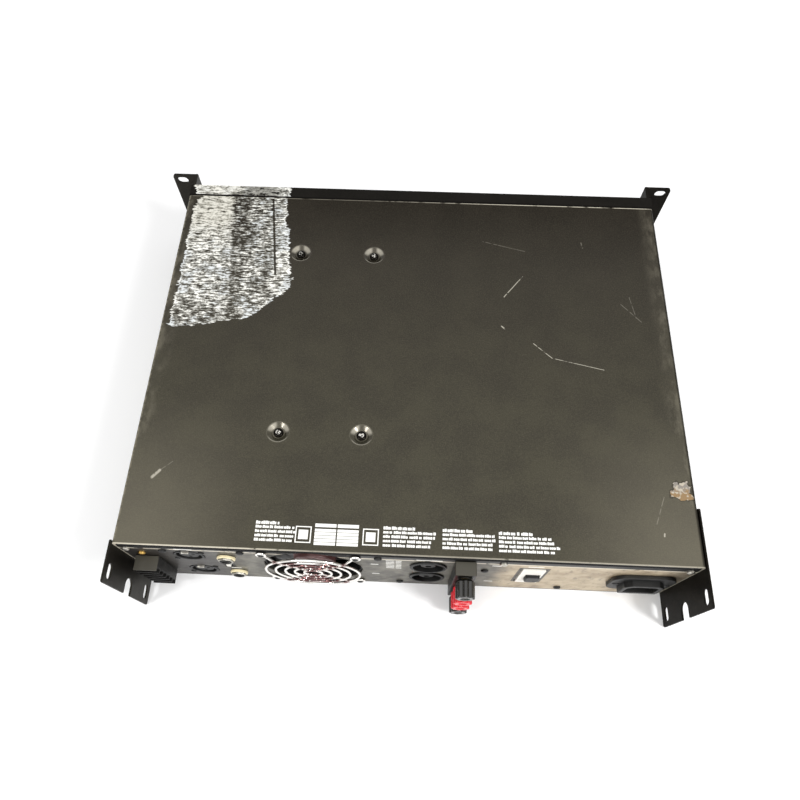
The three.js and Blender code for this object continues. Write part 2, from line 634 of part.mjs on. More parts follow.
function trsNut(up) {
  const [low, high] = [PANEL_Y + GAP, PANEL_Y + 3.9];
  const inner = JACK.bush + GAP;
  const outer = JACK.nut;
  const outside = [[inner, low], [outer, low], [outer, high - 1], [outer - 1, high]];
  return turnedY([...outside, [inner, high], [inner, low]], JACK.x, JACK.z + up * JACK.rise, 18);
}

function modeSwitchBody() {
  const face = PANEL_Y - 0.3;
  const body = block(around(MODE.x, MODE.width), [SOLDER_Y, face], around(MODE.z, MODE.height));
  const slotDeep = [face - 7, face + 1];
  return cut(body, block(around(MODE.x, MODE.slotWidth), slotDeep, around(MODE.z, MODE.slotHeight)));
}

function modeSwitchLever() {
  const end = PANEL_Y + 1.6;
  return block(around(MODE.x, MODE.slotWidth - 1), [end - 7.5, end], around(MODE.z, 4));
}

// A terminal block: a floor with a barrier on each side of every pole, and pins to its board.
function barrierStrip() {
  const [x0, x1] = around(STRIP.x, STRIP.width);
  const [z0, z1] = around(STRIP.z, STRIP.height);
  const start = PANEL_Y + GAP;
  const end = start + STRIP.reach;
  const pitch = (STRIP.height - STRIP.fin) / STRIP.poles;
  const floor = block([x0, x1], [start, start + STRIP.floor], [z0, z1]);
  const step = block([x0, x0 + 4], [start, end - 3], [z0, z1]);
  const pins = block([x0 + 4, x1 - 4], [SOLDER_Y, start + 1], [z0 + 4, z1 - 4]);
  const fins = [];
  for (let i = 0; i <= STRIP.poles; i += 1) {
    const low = z0 + i * pitch;
    fins.push(block([x0, x1], [start, end], [low, low + STRIP.fin]));
  }
  return join(floor, step, pins, ...fins);
}

// ---- output connectors --------------------------------------------------------------------------
// A twist-lock socket: a core inside a deep ring-shaped groove.
function speakerSocket(up) {
  const { body, flange, ring, core } = SPEAKER;
  const seat = PANEL_Y + GAP;
  const face = seat + 1.4;
  const [start, grooveY] = [face - 27, face - 20];
  const shell = [[0, start], [body, start], [body, seat], [flange, seat], [flange, face]];
  const groove = [[ring, face], [ring, grooveY], [core, grooveY], [core, face - 3]];
  const nose = [[core - 1.5, face - 1.5], [0, face - 1.5]];
  const z = SPEAKER.z + up * SPEAKER.rise;
  const socket = turnedY([...shell, ...groove, ...nose], SPEAKER.x, z);
  const lugs = block(around(SPEAKER.x, 3), [grooveY - 1, face - 4], around(z, 2 * (core + 1.4)));
  return join(socket, lugs);
}

function postHousing() {
  const seat = PANEL_Y + GAP;
  const span = [seat, PANEL_Y + POST.reach];
  const box = roundedRect(POST.x, MID_Z, POST.width, POST.height, 1);
  const holes = POST_STEPS.map((step) =>
    barY(POST.x, MID_Z + step * POST.pitch, STUD.radius + GAP, [span[0] - 1, span[1] + 1], 16),
  );
  return cut(plateY(box, span, 2), ...holes);
}

// A hollow threaded stud that takes a banana plug, with its nut behind the panel.
function postStud(step) {
  const { radius, bore } = STUD;
  const nutY = PANEL_BACK_Y - GAP;
  const start = nutY - 14;
  const end = PANEL_Y + STUD.end;
  const outside = [[0, start], [radius, start], [radius, nutY - 4], [5, nutY - 4], [5, nutY]];
  const tube = [[radius, nutY], [radius, end], [bore, end], [bore, end - 18], [0, end - 18]];
  return turnedY([...outside, ...tube], POST.x, MID_Z + step * POST.pitch, SMALL_ROUND);
}

function postWasher(step) {
  const low = PANEL_Y + POST.reach + GAP;
  const high = low + 1;
  const inner = STUD.radius + GAP;
  const profile = [[inner, low], [5.8, low], [5.8, high], [inner, high], [inner, low]];
  return turnedY(profile, POST.x, MID_Z + step * POST.pitch, SMALL_ROUND);
}

// A fluted cap that screws along the stud and clamps the wire against the washer.
function postCap(step) {
  const samples = 5 * CAP.flutes;
  const shape = new THREE.Shape();
  for (let i = 0; i < samples; i += 1) {
    const angle = (i * 2 * Math.PI) / samples;
    const radius = CAP.radius + CAP.flute * Math.cos(CAP.flutes * angle);
    const [u, v] = [radius * Math.cos(angle), radius * Math.sin(angle)];
    if (i === 0) shape.moveTo(u, v);
    else shape.lineTo(u, v);
  }
  const z = MID_Z + step * POST.pitch;
  const [low, high] = [PANEL_Y + CAP.start, PANEL_Y + CAP.end];
  const options = { depth: high - low, bevelEnabled: false };
  const fluted = new THREE.ExtrudeGeometry(shape, options).rotateX(Math.PI / 2);
  const body = solidOf(fluted.translate(POST.x, high, z));
  return cut(body, barY(POST.x, z, CAP.bore, [low - 1, high + 1], 16));
}

// ---- mains --------------------------------------------------------------------------------------
function mainsInlet() {
  const seat = PANEL_Y + GAP;
  const mouth = PANEL_Y + 8;
  const floorY = mouth - 16;
  const { x, z } = INLET;
  const flange = plateY(roundedRect(x, z, INLET.width, INLET.height, 11), [seat, seat + 3], 5);
  const collar = plateY(
    chamferedRect(x, z, INLET.collarWidth, INLET.collarHeight, 5),
    [seat, mouth],
  );
  const body = plateY(chamferedRect(x, z, 27.2, 20.2, 4), [PANEL_BACK_Y - 20, seat + 1]);
  const cavity = plateY(chamferedRect(x, z, 24.6, 16.8, 4), [floorY, mouth + 1]);
  const pin = (u, v) => block(around(x + u, 2), [floorY - 1, mouth - 3], around(z + v, 4));
  return join(cut(join(flange, collar, body), cavity), pin(-7, -2), pin(7, -2), pin(0, 2));
}

function breakerBody() {
  const { clear, depth } = BREAKER;
  const face = PANEL_Y + BREAKER.proud;
  const width = BREAKER.width - 2 * clear;
  const height = BREAKER.height - 2 * clear;
  const body = block(around(BREAKER.x, width), [face - depth, face], around(BREAKER.z, height));
  const wellFloor = PANEL_Y + BUTTON.proud - BUTTON.length - 1;
  const wide = around(BUTTON.x, BUTTON.width + 2 * GAP);
  const high = around(BUTTON.z, BUTTON.height + 2 * GAP);
  return cut(body, block(wide, [wellFloor, face + 1], high));
}

function breakerButton() {
  const end = PANEL_Y + BUTTON.proud;
  const outline = roundedRect(BUTTON.x, BUTTON.z, BUTTON.width, BUTTON.height, 1.2);
  return plateY(outline, [end - BUTTON.length, end], 2);
}

// ---- front controls -----------------------------------------------------------------------------
function displayWindow() {
  return plateY(roundedRect(WINDOW.x, MID_Z, WINDOW.width, WINDOW.height, 2), [
    FACE_Y - 0.4,
    FACE_BACK_Y + 1.5,
  ]);
}

function gainPot(x) {
  const shaft = [[0, FACE_Y - 10], [3, FACE_Y - 10], [3, FACE_Y - 2.6], [3.5, FACE_Y - 2.6]];
  const back = FACE_BACK_Y + GAP;
  const body = [[3.5, back], [8, back], [8, back + 12], [0, back + 12]];
  return turnedY([...shaft, ...body], x, KNOB.z, 16);
}

function gainKnob(x) {
  const back = FACE_Y - 0.6;
  const end = FRONT_Y + 0.7;
  const { radius } = KNOB;
  const skirt = [[0, end], [radius - 2.4, end], [radius - 1.6, end + 0.8], [radius - 1, back - 3]];
  const bore = [[radius, back - 2], [radius, back], [3.9, back], [3.9, back - 2.6], [3.3, back - 2.6]];
  const blind = FACE_Y - 10.4;
  return turnedY([...skirt, ...bore, [3.3, blind], [0, blind]], x, KNOB.z, 18);
}

function rockerBezel() {
  const lip = [FACE_Y - GAP - 1.2, FACE_Y - GAP];
  const rim = plateY(roundedRect(ROCKER.x, ROCKER.z, BEZEL.width, BEZEL.height, 1.5), lip, 2);
  const sleeveSpan = [lip[1] - 0.5, FACE_BACK_Y + 12];
  const wide = around(ROCKER.x, BEZEL.sleeveWidth);
  const sleeve = block(wide, sleeveSpan, around(ROCKER.z, BEZEL.sleeveHeight));
  const open = block(
    around(ROCKER.x, BEZEL.sleeveWidth - 2 * BEZEL.wall),
    [lip[0] - 1, FACE_BACK_Y + 10],
    around(ROCKER.z, BEZEL.sleeveHeight - 2 * BEZEL.wall),
  );
  return cut(join(rim, sleeve), open);
}

// The rocker is drawn level, then tipped to its off position about its pivot.
function powerRocker() {
  const { half, width, tiltDegrees } = ROCKER;
  const outline = polygon([
    [-4.4, half],
    [-6, 0],
    [-4.4, -half],
    [3, -5],
    [3, 5],
  ].reverse());
  const geometry = new THREE.ExtrudeGeometry(outline, { depth: width, bevelEnabled: false });
  geometry.applyMatrix4(OUTLINE_TO_YZ).rotateX(THREE.MathUtils.degToRad(tiltDegrees));
  return solidOf(geometry.translate(ROCKER.x - width / 2, FACE_BACK_Y + 2, ROCKER.z));
}

// ---- assembly -----------------------------------------------------------------------------------
const amplifier = new THREE.Group();

function add(name, solid, finishName) {
  const material = new THREE.MeshStandardMaterial(FINISHES[finishName]);
  const mesh = new THREE.Mesh(geometryOf(solid), material);
  mesh.name = name;
  amplifier.add(mesh);
}

add("top_cover", topCover(), "blackSteel");
add("chassis_pan", chassisPan(), "blackSteel");
add("rear_panel", rearPanel(), "rearSteel");
add("front_panel", frontPanel(), "frontPanel");
dimplePlaces().forEach((place, i) => add(`cover_screw_${i + 1}`, coverScrew(place), "zinc"));
for (const side of LEFT_RIGHT) {
  const name = side < 0 ? "left" : "right";
  add(`front_ear_${name}`, frontEar(side), "earSteel");
  add(`rear_ear_${name}`, rearEar(side), "earSteel");
  add(`heat_sink_${name}`, heatSink(side), "aluminium");
}
add("fan_frame", fanFrame(), "blackPlastic");
add("fan_rotor", fanRotor(), "blackPlastic");
add("fan_guard", fanGuard(), "chrome");
add("toroid_transformer", toroidTransformer(), "winding");
add("transformer_clamp", transformerClamp(), "zinc");
add("amplifier_board", amplifierBoard(), "board");
add("input_board", inputBoard(), "board");
CAN.ys.forEach((y, i) => add(`filter_capacitor_${i + 1}`, filterCapacitor(y), "capacitor"));
UP_DOWN.forEach((up, i) => {
  add(`xlr_input_${i + 1}`, xlrInput(up), "blackPlastic");
  add(`xlr_latch_${i + 1}`, xlrLatch(up), "zinc");
  add(`trs_jack_${i + 1}`, trsJack(up), "blackPlastic");
  add(`trs_nut_${i + 1}`, trsNut(up), "creamNickel");
  add(`speaker_socket_${i + 1}`, speakerSocket(up), "blackPlastic");
});
add("mode_switch_body", modeSwitchBody(), "blackPlastic");
add("mode_switch_lever", modeSwitchLever(), "whitePlastic");
add("barrier_strip", barrierStrip(), "blackPlastic");
add("post_housing", postHousing(), "blackPlastic");
POST_STEPS.forEach((step, i) => {
  const outer = Math.abs(step) > 1;
  add(`post_stud_${i + 1}`, postStud(step), "brass");
  add(`post_washer_${i + 1}`, postWasher(step), "zinc");
  add(`post_cap_${i + 1}`, postCap(step), outer ? "blackPlastic" : "redPlastic");
});
add("mains_inlet", mainsInlet(), "blackPlastic");
add("breaker_body", breakerBody(), "whitePlastic");
add("breaker_button", breakerButton(), "blackPlastic");
add("display_window", displayWindow(), "lens");
KNOB.xs.forEach((x, i) => {
  add(`gain_pot_${i + 1}`, gainPot(x), "zinc");
  add(`gain_knob_${i + 1}`, gainKnob(x), "blackPlastic");
});
add("rocker_bezel", rockerBezel(), "blackPlastic");
add("power_rocker", powerRocker(), "blackPlastic");

export default amplifier;
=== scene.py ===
"""The looks of a two-unit rack power amplifier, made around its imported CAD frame.

Metres, +Z up. The connector panel faces +Y, the front panel faces -Y, and left is -X.
"""

import json
import math
import random

import bmesh
import bpy
from mathutils import Matrix, Vector


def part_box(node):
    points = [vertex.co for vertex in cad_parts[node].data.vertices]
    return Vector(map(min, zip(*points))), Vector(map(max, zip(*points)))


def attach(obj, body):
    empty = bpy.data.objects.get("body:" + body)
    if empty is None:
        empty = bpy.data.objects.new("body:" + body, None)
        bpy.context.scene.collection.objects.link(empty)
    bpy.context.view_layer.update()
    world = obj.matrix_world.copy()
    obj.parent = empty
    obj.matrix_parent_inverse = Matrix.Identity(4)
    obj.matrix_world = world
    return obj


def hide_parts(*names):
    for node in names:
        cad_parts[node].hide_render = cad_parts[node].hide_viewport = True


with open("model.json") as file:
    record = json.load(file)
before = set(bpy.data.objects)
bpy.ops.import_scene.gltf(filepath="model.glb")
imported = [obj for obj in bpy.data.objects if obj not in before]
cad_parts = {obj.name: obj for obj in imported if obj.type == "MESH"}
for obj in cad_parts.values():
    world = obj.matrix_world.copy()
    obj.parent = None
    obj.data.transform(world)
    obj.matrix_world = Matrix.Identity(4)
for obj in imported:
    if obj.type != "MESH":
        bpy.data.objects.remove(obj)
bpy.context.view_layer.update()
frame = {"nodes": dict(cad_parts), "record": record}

MM = 0.001
BODY_OF = {
    node: body
    for body, nodes in frame["record"]["behaviour"]["bodies"].items()
    for node in nodes
}
random.seed(19)


def measure(node):
    """A node's lowest corner, its highest corner and its middle."""
    first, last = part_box(node)
    return first, last, (first + last) / 2


def centre(node):
    return measure(node)[2]


COVER_LOW, COVER_HIGH, _ = measure("top_cover")
PANEL_LOW, PANEL_HIGH, _ = measure("rear_panel")
FRONT_LOW, FRONT_HIGH, _ = measure("front_panel")
PANEL_Y = PANEL_HIGH.y  # outer face of the connector panel
TOP_Z = COVER_HIGH.z
HALF_BODY = COVER_HIGH.x
SHEET = 1.5 * MM
DIMPLE_DEPTH = 2.6 * MM
OUTWARD = (0, 1, 0)
SCREW_NODES = [f"cover_screw_{i}" for i in range(1, 5)]


# ---- shapes
# How an outline's own (u, v) and its thickness lie in X, Y and Z, for a plate square to each axis.
PLANES = {
    "X": Matrix(((0, 0, 1), (1, 0, 0), (0, 1, 0))).to_4x4(),
    "Y": Matrix(((1, 0, 0), (0, 0, -1), (0, 1, 0))).to_4x4(),
    "Z": Matrix.Identity(4),
}
NORMALS = {"X": Vector((1, 0, 0)), "Y": Vector((0, 1, 0)), "Z": Vector((0, 0, 1))}
DOUBLED = 1e-6  # points this near each other are one point


def new_object(name, data):
    piece = bpy.data.objects.new(name, data)
    bpy.context.scene.collection.objects.link(piece)
    return piece


def built(name, work):
    """The object that a finished bmesh makes."""
    mesh = bpy.data.meshes.new(name)
    work.to_mesh(mesh)
    work.free()
    return new_object(name, mesh)


def rounded(corners, steps=6):
    """The points of an outline, from corners given as (u, v, fillet radius)."""
    points = []
    for i, (u, v, radius) in enumerate(corners):
        corner = Vector((u, v))
        if radius <= 0:
            points.append((u, v))
            continue
        before = (Vector(corners[i - 1][:2]) - corner).normalized()
        after = (Vector(corners[(i + 1) % len(corners)][:2]) - corner).normalized()
        half = before.angle(after) / 2
        middle = corner + (before + after).normalized() * radius / math.sin(half)
        reach = radius / math.tan(half)
        start = corner + before * reach - middle
        end = corner + after * reach - middle
        first = math.atan2(start.y, start.x)
        turn = (math.atan2(end.y, end.x) - first + math.pi) % math.tau - math.pi
        count = max(2, math.ceil(steps * abs(turn) / (math.pi / 2)))
        for k in range(count + 1):
            angle = first + turn * k / count
            points.append((middle.x + radius * math.cos(angle), middle.y + radius * math.sin(angle)))
    return points


def oblong(u, v, width, height, radius):
    """A rectangle about (u, v) with round corners."""
    w, h = width / 2, height / 2
    corners = [(u - w, v - h), (u + w, v - h), (u + w, v + h), (u - w, v + h)]
    return rounded([(*corner, radius) for corner in corners])


def around_node(node, radius):
    """The oblong that a node fills, seen along Y."""
    first, last, middle = measure(node)
    return oblong(middle.x, middle.z, last.x - first.x, last.z - first.z, radius)


def disc(u, v, radius, steps=40):
    angles = [math.tau * k / steps for k in range(steps)]
    return [(u + radius * math.cos(a), v + radius * math.sin(a)) for a in angles]


def drawn(name, lines, cyclic, **settings):
    """The mesh of a curve through each line's points."""
    curve = bpy.data.curves.new(name, "CURVE")
    for setting, value in settings.items():
        setattr(curve, setting, value)
    for line in lines:
        spline = curve.splines.new("POLY")
        spline.points.add(len(line) - 1)
        for point, spot in zip(spline.points, line):
            point.co = (*spot, 1)
        spline.use_cyclic_u = cyclic
    drawing = new_object(name, curve)
    mesh = bpy.data.meshes.new_from_object(drawing)
    bpy.data.objects.remove(drawing)
    bpy.data.curves.remove(curve)
    return mesh


def closed(name, mesh):
    """The object of a mesh, with its doubled points joined and its faces turned outward."""
    work = bmesh.new()
    work.from_mesh(mesh)
    bpy.data.meshes.remove(mesh)
    bmesh.ops.remove_doubles(work, verts=work.verts, dist=DOUBLED)
    bmesh.ops.recalc_face_normals(work, faces=work.faces)
    return built(name, work)


def plate(name, outlines, span, axis, edge=0.25 * MM):
    """A sheet with softened edges, from an outer outline and the outlines of its holes."""
    lines = [[(u, v, 0) for u, v in outline] for outline in outlines]
    mesh = drawn(name, lines, True, dimensions="2D", fill_mode="BOTH",
                 extrude=abs(span[1] - span[0]) / 2 - edge, bevel_depth=edge, bevel_resolution=1,
                 offset=-edge)
    mesh.transform(Matrix.Translation(NORMALS[axis] * sum(span) / 2) @ PLANES[axis])
    return closed(name, mesh)


def wire(name, points, radius, cyclic=False):
    """Round wire through the points."""
    return closed(name, drawn(name, [points], cyclic, dimensions="3D", bevel_depth=radius,
                              bevel_resolution=3, use_fill_caps=not cyclic))


def lathe(name, profile, middle, axis="Y", steps=56, ripple=None):
    """Turns a profile of (radius, place along the axis) about a line through middle.

    It starts and ends on the axis, or closes on itself. ripple(radius, angle) alters a radius.
    """
    work = bmesh.new()
    rings = []
    for radius, along in profile:
        ring = []
        for k in range(steps if radius > 1e-7 else 1):
            angle = math.tau * k / steps
            r = ripple(radius, angle) if ripple else radius
            u, v = r * math.cos(angle), r * math.sin(angle)
            upright = (middle.x + u, middle.y + v, along)
            ring.append(work.verts.new((middle.x + u, along, middle.z + v) if axis == "Y" else upright))
        rings.append(ring)
    pairs = list(zip(rings, rings[1:]))
    if len(rings[0]) > 1:
        pairs.append((rings[-1], rings[0]))
    for one, two in pairs:
        for k in range(steps):
            corners = [one[k % len(one)], one[(k + 1) % steps % len(one)],
                       two[(k + 1) % steps % len(two)], two[k % len(two)]]
            face = list(dict.fromkeys(corners))
            if len(face) > 2:
                work.faces.new(face)
    bmesh.ops.recalc_face_normals(work, faces=work.faces)
    return built(name, work)


def box(name, first, second):
    """A block between two corners, whose edges fit() softens."""
    work = bmesh.new()
    bmesh.ops.create_cube(work, size=1)
    lowest = Vector(map(min, first, second))
    span = Vector(map(max, first, second)) - lowest
    for vertex in work.verts:
        vertex.co = lowest + Vector((vertex.co[i] + 0.5) * span[i] for i in range(3))
    return built(name, work)


def copy_of(node):
    """A CAD node's shape with its flat faces whole again, so that its edges can be softened."""
    work = bmesh.new()
    work.from_mesh(frame["nodes"][node].data)
    bmesh.ops.remove_doubles(work, verts=work.verts, dist=DOUBLED)
    bmesh.ops.dissolve_limit(work, angle_limit=math.radians(1), verts=work.verts, edges=work.edges)
    return built(node + "_shape", work)


def merged(name, pieces):
    """One object from several."""
    work = bmesh.new()
    for piece in pieces:
        work.from_mesh(piece.data)
        bpy.data.objects.remove(piece)
    return built(name, work)


def carve(piece, tools, operation="DIFFERENCE"):
    """Cuts tools that stand clear of each other out of a piece, or joins them on with UNION."""
    tool = merged("tool", tools)
    step = piece.modifiers.new("carve", "BOOLEAN")
    step.operation = operation
    step.solver = "EXACT"
    step.object = tool
    graph = bpy.context.evaluated_depsgraph_get()
    mesh = bpy.data.meshes.new_from_object(piece.evaluated_get(graph))
    piece.modifiers.clear()
    piece.data = mesh
    bpy.data.objects.remove(tool)
    return piece


def bar(u, v, radius, span, steps=48):
    """A plain round bar along Y, to cut a hole or to join on."""
    profile = [(0, span[0]), (radius, span[0]), (radius, span[1]), (0, span[1])]
    return lathe("bar", profile, Vector((u, 0, v)), steps=steps)


def fit(piece, name, slot, *nodes, body=None, edge=0, material=None, smooth=35):
    """Names a piece, softens and shades it, and gives it its finish and its place in the frame."""
    piece.name = name
    piece.data.name = name
    if edge:
        soften = piece.modifiers.new("edges", "BEVEL")
        soften.width = edge
        soften.segments = 2
        soften.limit_method = "ANGLE"
        soften.angle_limit = math.radians(50)
    piece.data.shade_smooth()
    piece.data.set_sharp_from_angle(angle=math.radians(smooth))
    piece.modifiers.new("flats", "WEIGHTED_NORMAL").keep_sharp = True
    piece.data.materials.clear()
    piece.data.materials.append(finish(material or slot))
    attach(piece, body or (BODY_OF[nodes[0]] if nodes else "root"))
    if nodes:
        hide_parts(*nodes)
    return piece


def fit_copies(*rows):
    """Softened copies of CAD nodes, from rows of (node, name, slot, edge in mm)."""
    for node, name, slot, edge in rows:
        fit(copy_of(node), name, slot, node, edge=edge * MM)


# ---- materials
def tint(code):
    """A linear colour from an 0xRRGGBB one."""
    parts = [(code >> shift & 255) / 255 for shift in (16, 8, 0)]
    return [p / 12.92 if p <= 0.04045 else ((p + 0.055) / 1.055) ** 2.4 for p in parts] + [1]


class Value:
    """A number or a colour that varies over a surface. Arithmetic on it adds shader nodes."""

    def __init__(self, surface, socket):
        self.surface = surface
        self.socket = socket

    def __add__(self, other):
        return self.surface.math("ADD", self, other)

    def __sub__(self, other):
        return self.surface.math("SUBTRACT", self, other)

    def __rsub__(self, other):
        return self.surface.math("SUBTRACT", other, self)

    def __mul__(self, other):
        return self.surface.math("MULTIPLY", self, other)

    def __abs__(self):
        return self.surface.math("ABSOLUTE", self)


class Surface:
    """One procedural material. Its patterns are laid out in the object's own millimetres."""

    def __init__(self, name, **sockets):
        self.material = bpy.data.materials.new(name)
        self.material.use_nodes = True
        self.nodes = self.material.node_tree.nodes
        self.shader = self.nodes["Principled BSDF"]
        scale = self.nodes.new("ShaderNodeVectorMath")
        scale.operation = "SCALE"
        scale.inputs["Scale"].default_value = 1 / MM
        self.join(self.nodes.new("ShaderNodeTexCoord").outputs["Object"], scale.inputs[0])
        self.place = scale.outputs[0]
        split = self.nodes.new("ShaderNodeSeparateXYZ")
        self.join(self.place, split.inputs[0])
        self.x, self.y, self.z = (Value(self, output) for output in split.outputs)
        self.set(**sockets)

    def join(self, source, target):
        self.material.node_tree.links.new(source, target)

    def put(self, value, target):
        if isinstance(value, Value):
            self.join(value.socket, target)
        else:
            target.default_value = value

    def set(self, **sockets):
        """Sets the shader's sockets, named with _ for each space."""
        for socket, value in sockets.items():
            self.put(value, self.shader.inputs[socket.replace("_", " ")])

    def node(self, kind, values=(), output=0, settings=(), **sockets):
        """The output of a new shader node, with its first inputs and its named ones filled."""
        node = self.nodes.new("ShaderNode" + kind)
        for setting, value in dict(settings).items():
            setattr(node, setting, value)
        for value, target in zip(values, node.inputs):
            self.put(value, target)
        for socket, value in sockets.items():
            self.put(value, node.inputs[socket.replace("_", " ")])
        return Value(self, node.outputs[output])

    def math(self, operation, *values):
        return self.node("Math", values, settings={"operation": operation})

    def most(self, first, *others):
        for other in others:
            first = self.math("MAXIMUM", first, other)
        return first

    def least(self, first, *others):
        for other in others:
            first = self.math("MINIMUM", first, other)
        return first

    def stretched(self, stretch, shift=(0, 0, 0)):
        """The place, with each of its axes scaled."""
        return self.node("Mapping", Vector=Value(self, self.place), Scale=stretch, Location=shift)

    def noise(self, size, detail=2, roughness=0.5, stretch=(1, 1, 1), shift=(0, 0, 0)):
        """Noise whose spots are about size millimetres across, divided by the stretch."""
        return self.node("TexNoise", Vector=self.stretched(stretch, shift), Scale=1 / size,
                         Detail=detail, Roughness=roughness)

    def cells(self, size, stretch=(1, 1, 1)):
        return self.node("TexVoronoi", output="Distance", Vector=self.stretched(stretch), Scale=1 / size)

    def step(self, value, start, end):
        """0 below start and 1 above end, or the other way round where end is the lower."""
        return self.node("MapRange", settings={"interpolation_type": "SMOOTHSTEP"}, Value=value,
                         From_Min=min(start, end), From_Max=max(start, end),
                         To_Min=float(start > end), To_Max=float(start <= end))

    def strip(self, value, start, end, other_start, other_end):
        """1 between two steps, and 0 on both sides of them."""
        return self.step(value, start, end) * self.step(value, other_start, other_end)

    def scaled(self, value, to_low, to_high):
        """Turns 0..1 into a range."""
        return self.math("MULTIPLY_ADD", value, to_high - to_low, to_low)

    def mix(self, factor, first, second):
        """Goes from one colour to another. A colour is a Value or 0xRRGGBB."""
        node = self.nodes.new("ShaderNodeMix")
        node.data_type = "RGBA"
        self.put(factor, node.inputs[0])
        for value, target in ((first, node.inputs[6]), (second, node.inputs[7])):
            self.put(value if isinstance(value, Value) else tint(value), target)
        return Value(self, node.outputs[2])

    def bump(self, height, depth, strength=1):
        """Relief whose full height is depth millimetres. A second call adds to the first."""
        target = self.shader.inputs["Normal"]
        sockets = {"Normal": Value(self, target.links[0].from_socket)} if target.is_linked else {}
        self.set(Normal=self.node("Bump", Distance=depth * MM, Strength=strength, Height=height, **sockets))

    def beyond(self, point, inward):
        """How far inside a line the place lies: through point, square to inward, in X and Y."""
        length = math.hypot(*inward)
        nx, ny = inward[0] / length, inward[1] / length
        return self.x * nx + self.y * ny - (point[0] * nx + point[1] * ny)

    def stroke(self, start, end, width):
        """1 along a fine straight line between two points of the top, and 0 away from it."""
        dx, dy = end[0] - start[0], end[1] - start[1]
        square = dx * dx + dy * dy
        share = self.x * (dx / square) + self.y * (dy / square) - (start[0] * dx + start[1] * dy) / square
        held = self.least(self.most(share, 0.0), 1.0)
        off_x = self.x - (held * dx + start[0])
        off_y = self.y - (held * dy + start[1])
        return self.step(self.math("SQRT", off_x * off_x + off_y * off_y), width, width * 0.4)

    def from_node(self, node):
        """The place in X, Y and Z, counted from the middle of a node."""
        middle = centre(node) / MM
        return self.x - middle.x, self.y - middle.y, self.z - middle.z


DUST, CLEAN_EDGE, SHADE_AND_GRIME_BLACK, WHITE_METAL = 0x8A8470, 0x9A9482, 0x0A0908, 0xF4F1EC


def paint_tone(s, dark, light, fine, broad, share, speckle):
    """Two close tones in fine and broad clouds, under a fine dusty grain."""
    clouds = s.noise(fine, 3, 0.6) * share + s.noise(broad, 3) * (1 - share)
    tone = s.mix(s.step(clouds, 0.38, 0.62), dark, light)
    return s.mix(s.step(s.noise(0.9, 2, 0.7), 0.4, 0.75) * speckle, tone, DUST)


def coated(name, dark, light, roughness=0.42, gloss=0.5, speckle=0.1):
    """Textured paint on steel: two close tones, a fine grain and an uneven gloss."""
    s = Surface(name, Specular_IOR_Level=gloss, Specular_Tint=tint(0xFFF6E2))
    s.tone = paint_tone(s, dark, light, 3.2, 38, 0.35, speckle)
    s.gloss = s.scaled(s.noise(7, 3), roughness - 0.07, roughness + 0.07)
    s.set(Base_Color=s.tone, Roughness=s.gloss)
    s.bump(s.noise(0.9, 2, 0.7), 0.05, 0.6)
    return s


def moulded(name, color, roughness=0.45, worn=0x6A6862, gloss=0.5):
    """Moulded plastic: a fine grain, faint clouds and dusty patches."""
    s = Surface(name, Specular_IOR_Level=gloss)
    s.set(Base_Color=s.mix(s.step(s.noise(9, 4, 0.65), 0.52, 0.8) * 0.3, color, worn),
          Roughness=s.scaled(s.noise(3, 3), roughness - 0.08, roughness + 0.12))
    s.bump(s.noise(0.5, 2), 0.03, 0.5)
    return s


def plated(name, color, stain, roughness=0.3, brushed=(1, 1, 1)):
    """Plated or bare metal with fine marks and dull stains."""
    s = Surface(name, Metallic=1.0)
    marks = s.noise(1.2, 3, stretch=brushed)
    s.set(Base_Color=s.mix(s.step(s.noise(5, 4, 0.6), 0.45, 0.75), color, stain),
          Roughness=s.scaled(marks, roughness - 0.1, roughness + 0.15))
    s.bump(s.noise(0.8, 2, stretch=brushed), 0.015, 0.5)
    return s


def peeled(s, inside, smooth):
    """What is left of a peeled label: (how much grey film, how much white paper) at each place.

    inside is the distance in from its edge, and smooth is 1 where it tore off least.
    """
    fray = s.scaled(s.noise(1.4, 2, 0.6, (0.22, 1, 1)), -4.4, 4.4)
    inside = inside + fray + s.scaled(s.noise(11, 2, 0.5, shift=(3, 8, 0)), -5, 5)
    film = s.step(inside, 0.0, 0.7)
    dashes = s.noise(2.1, 2, 0.6, (0.3, 1, 1))
    threads = s.noise(1.3, 1, 0.5, (0.2, 1, 1), (9, 31, 0))
    flecks = s.noise(1.6, 2, 0.7, (0.75, 1, 1), (5, 90, 0))
    patches = s.noise(8, 2, 0.5, shift=(60, 20, 0))
    amount = dashes * 0.42 + threads * 0.3 + flecks * 0.28 + patches * 0.16 - 0.08
    # Bands where less of it is left run from front to rear.
    bands = [((169, -174), (164, -122), 12, 0.075), ((165, -120), (158, -30), 8, 0.06),
             ((138.9, -172), (127, -83), 1.3, 0.12), ((146, -172), (140, -60), 20, 0.035),
             ((212, -40), (165, -30), 18, 0.045), ((190, -110), (184, -60), 26, 0.012)]
    for start, end, width, loss in bands:
        amount = amount - s.stroke(start, end, width) * loss
    amount = amount + s.step(inside, 2.6, 0.8) * 0.07 + smooth * 0.018
    s.relief = film * amount
    return film * s.step(amount, 0.41, 0.455), film * s.step(amount, 0.46, 0.565)


def peeled_tones(s, tone, grey, white, smooth):
    """Paints the peeled label over a tone."""
    cold = s.step(s.noise(13, 2, shift=(0, 0, 9)), 0.44, 0.6) * (1 - smooth)
    paper = s.mix(cold, 0xF4F3EC, 0xD9DDDE)
    film = s.mix(s.step(s.noise(2.2, 2), 0.4, 0.6), 0x6C6B65, 0x85837B)
    tone = s.mix(grey, tone, s.mix(smooth * 0.45, film, 0xA5A193))
    return s.mix(white, tone, s.mix(smooth * 0.6, paper, 0xBEBAAC))


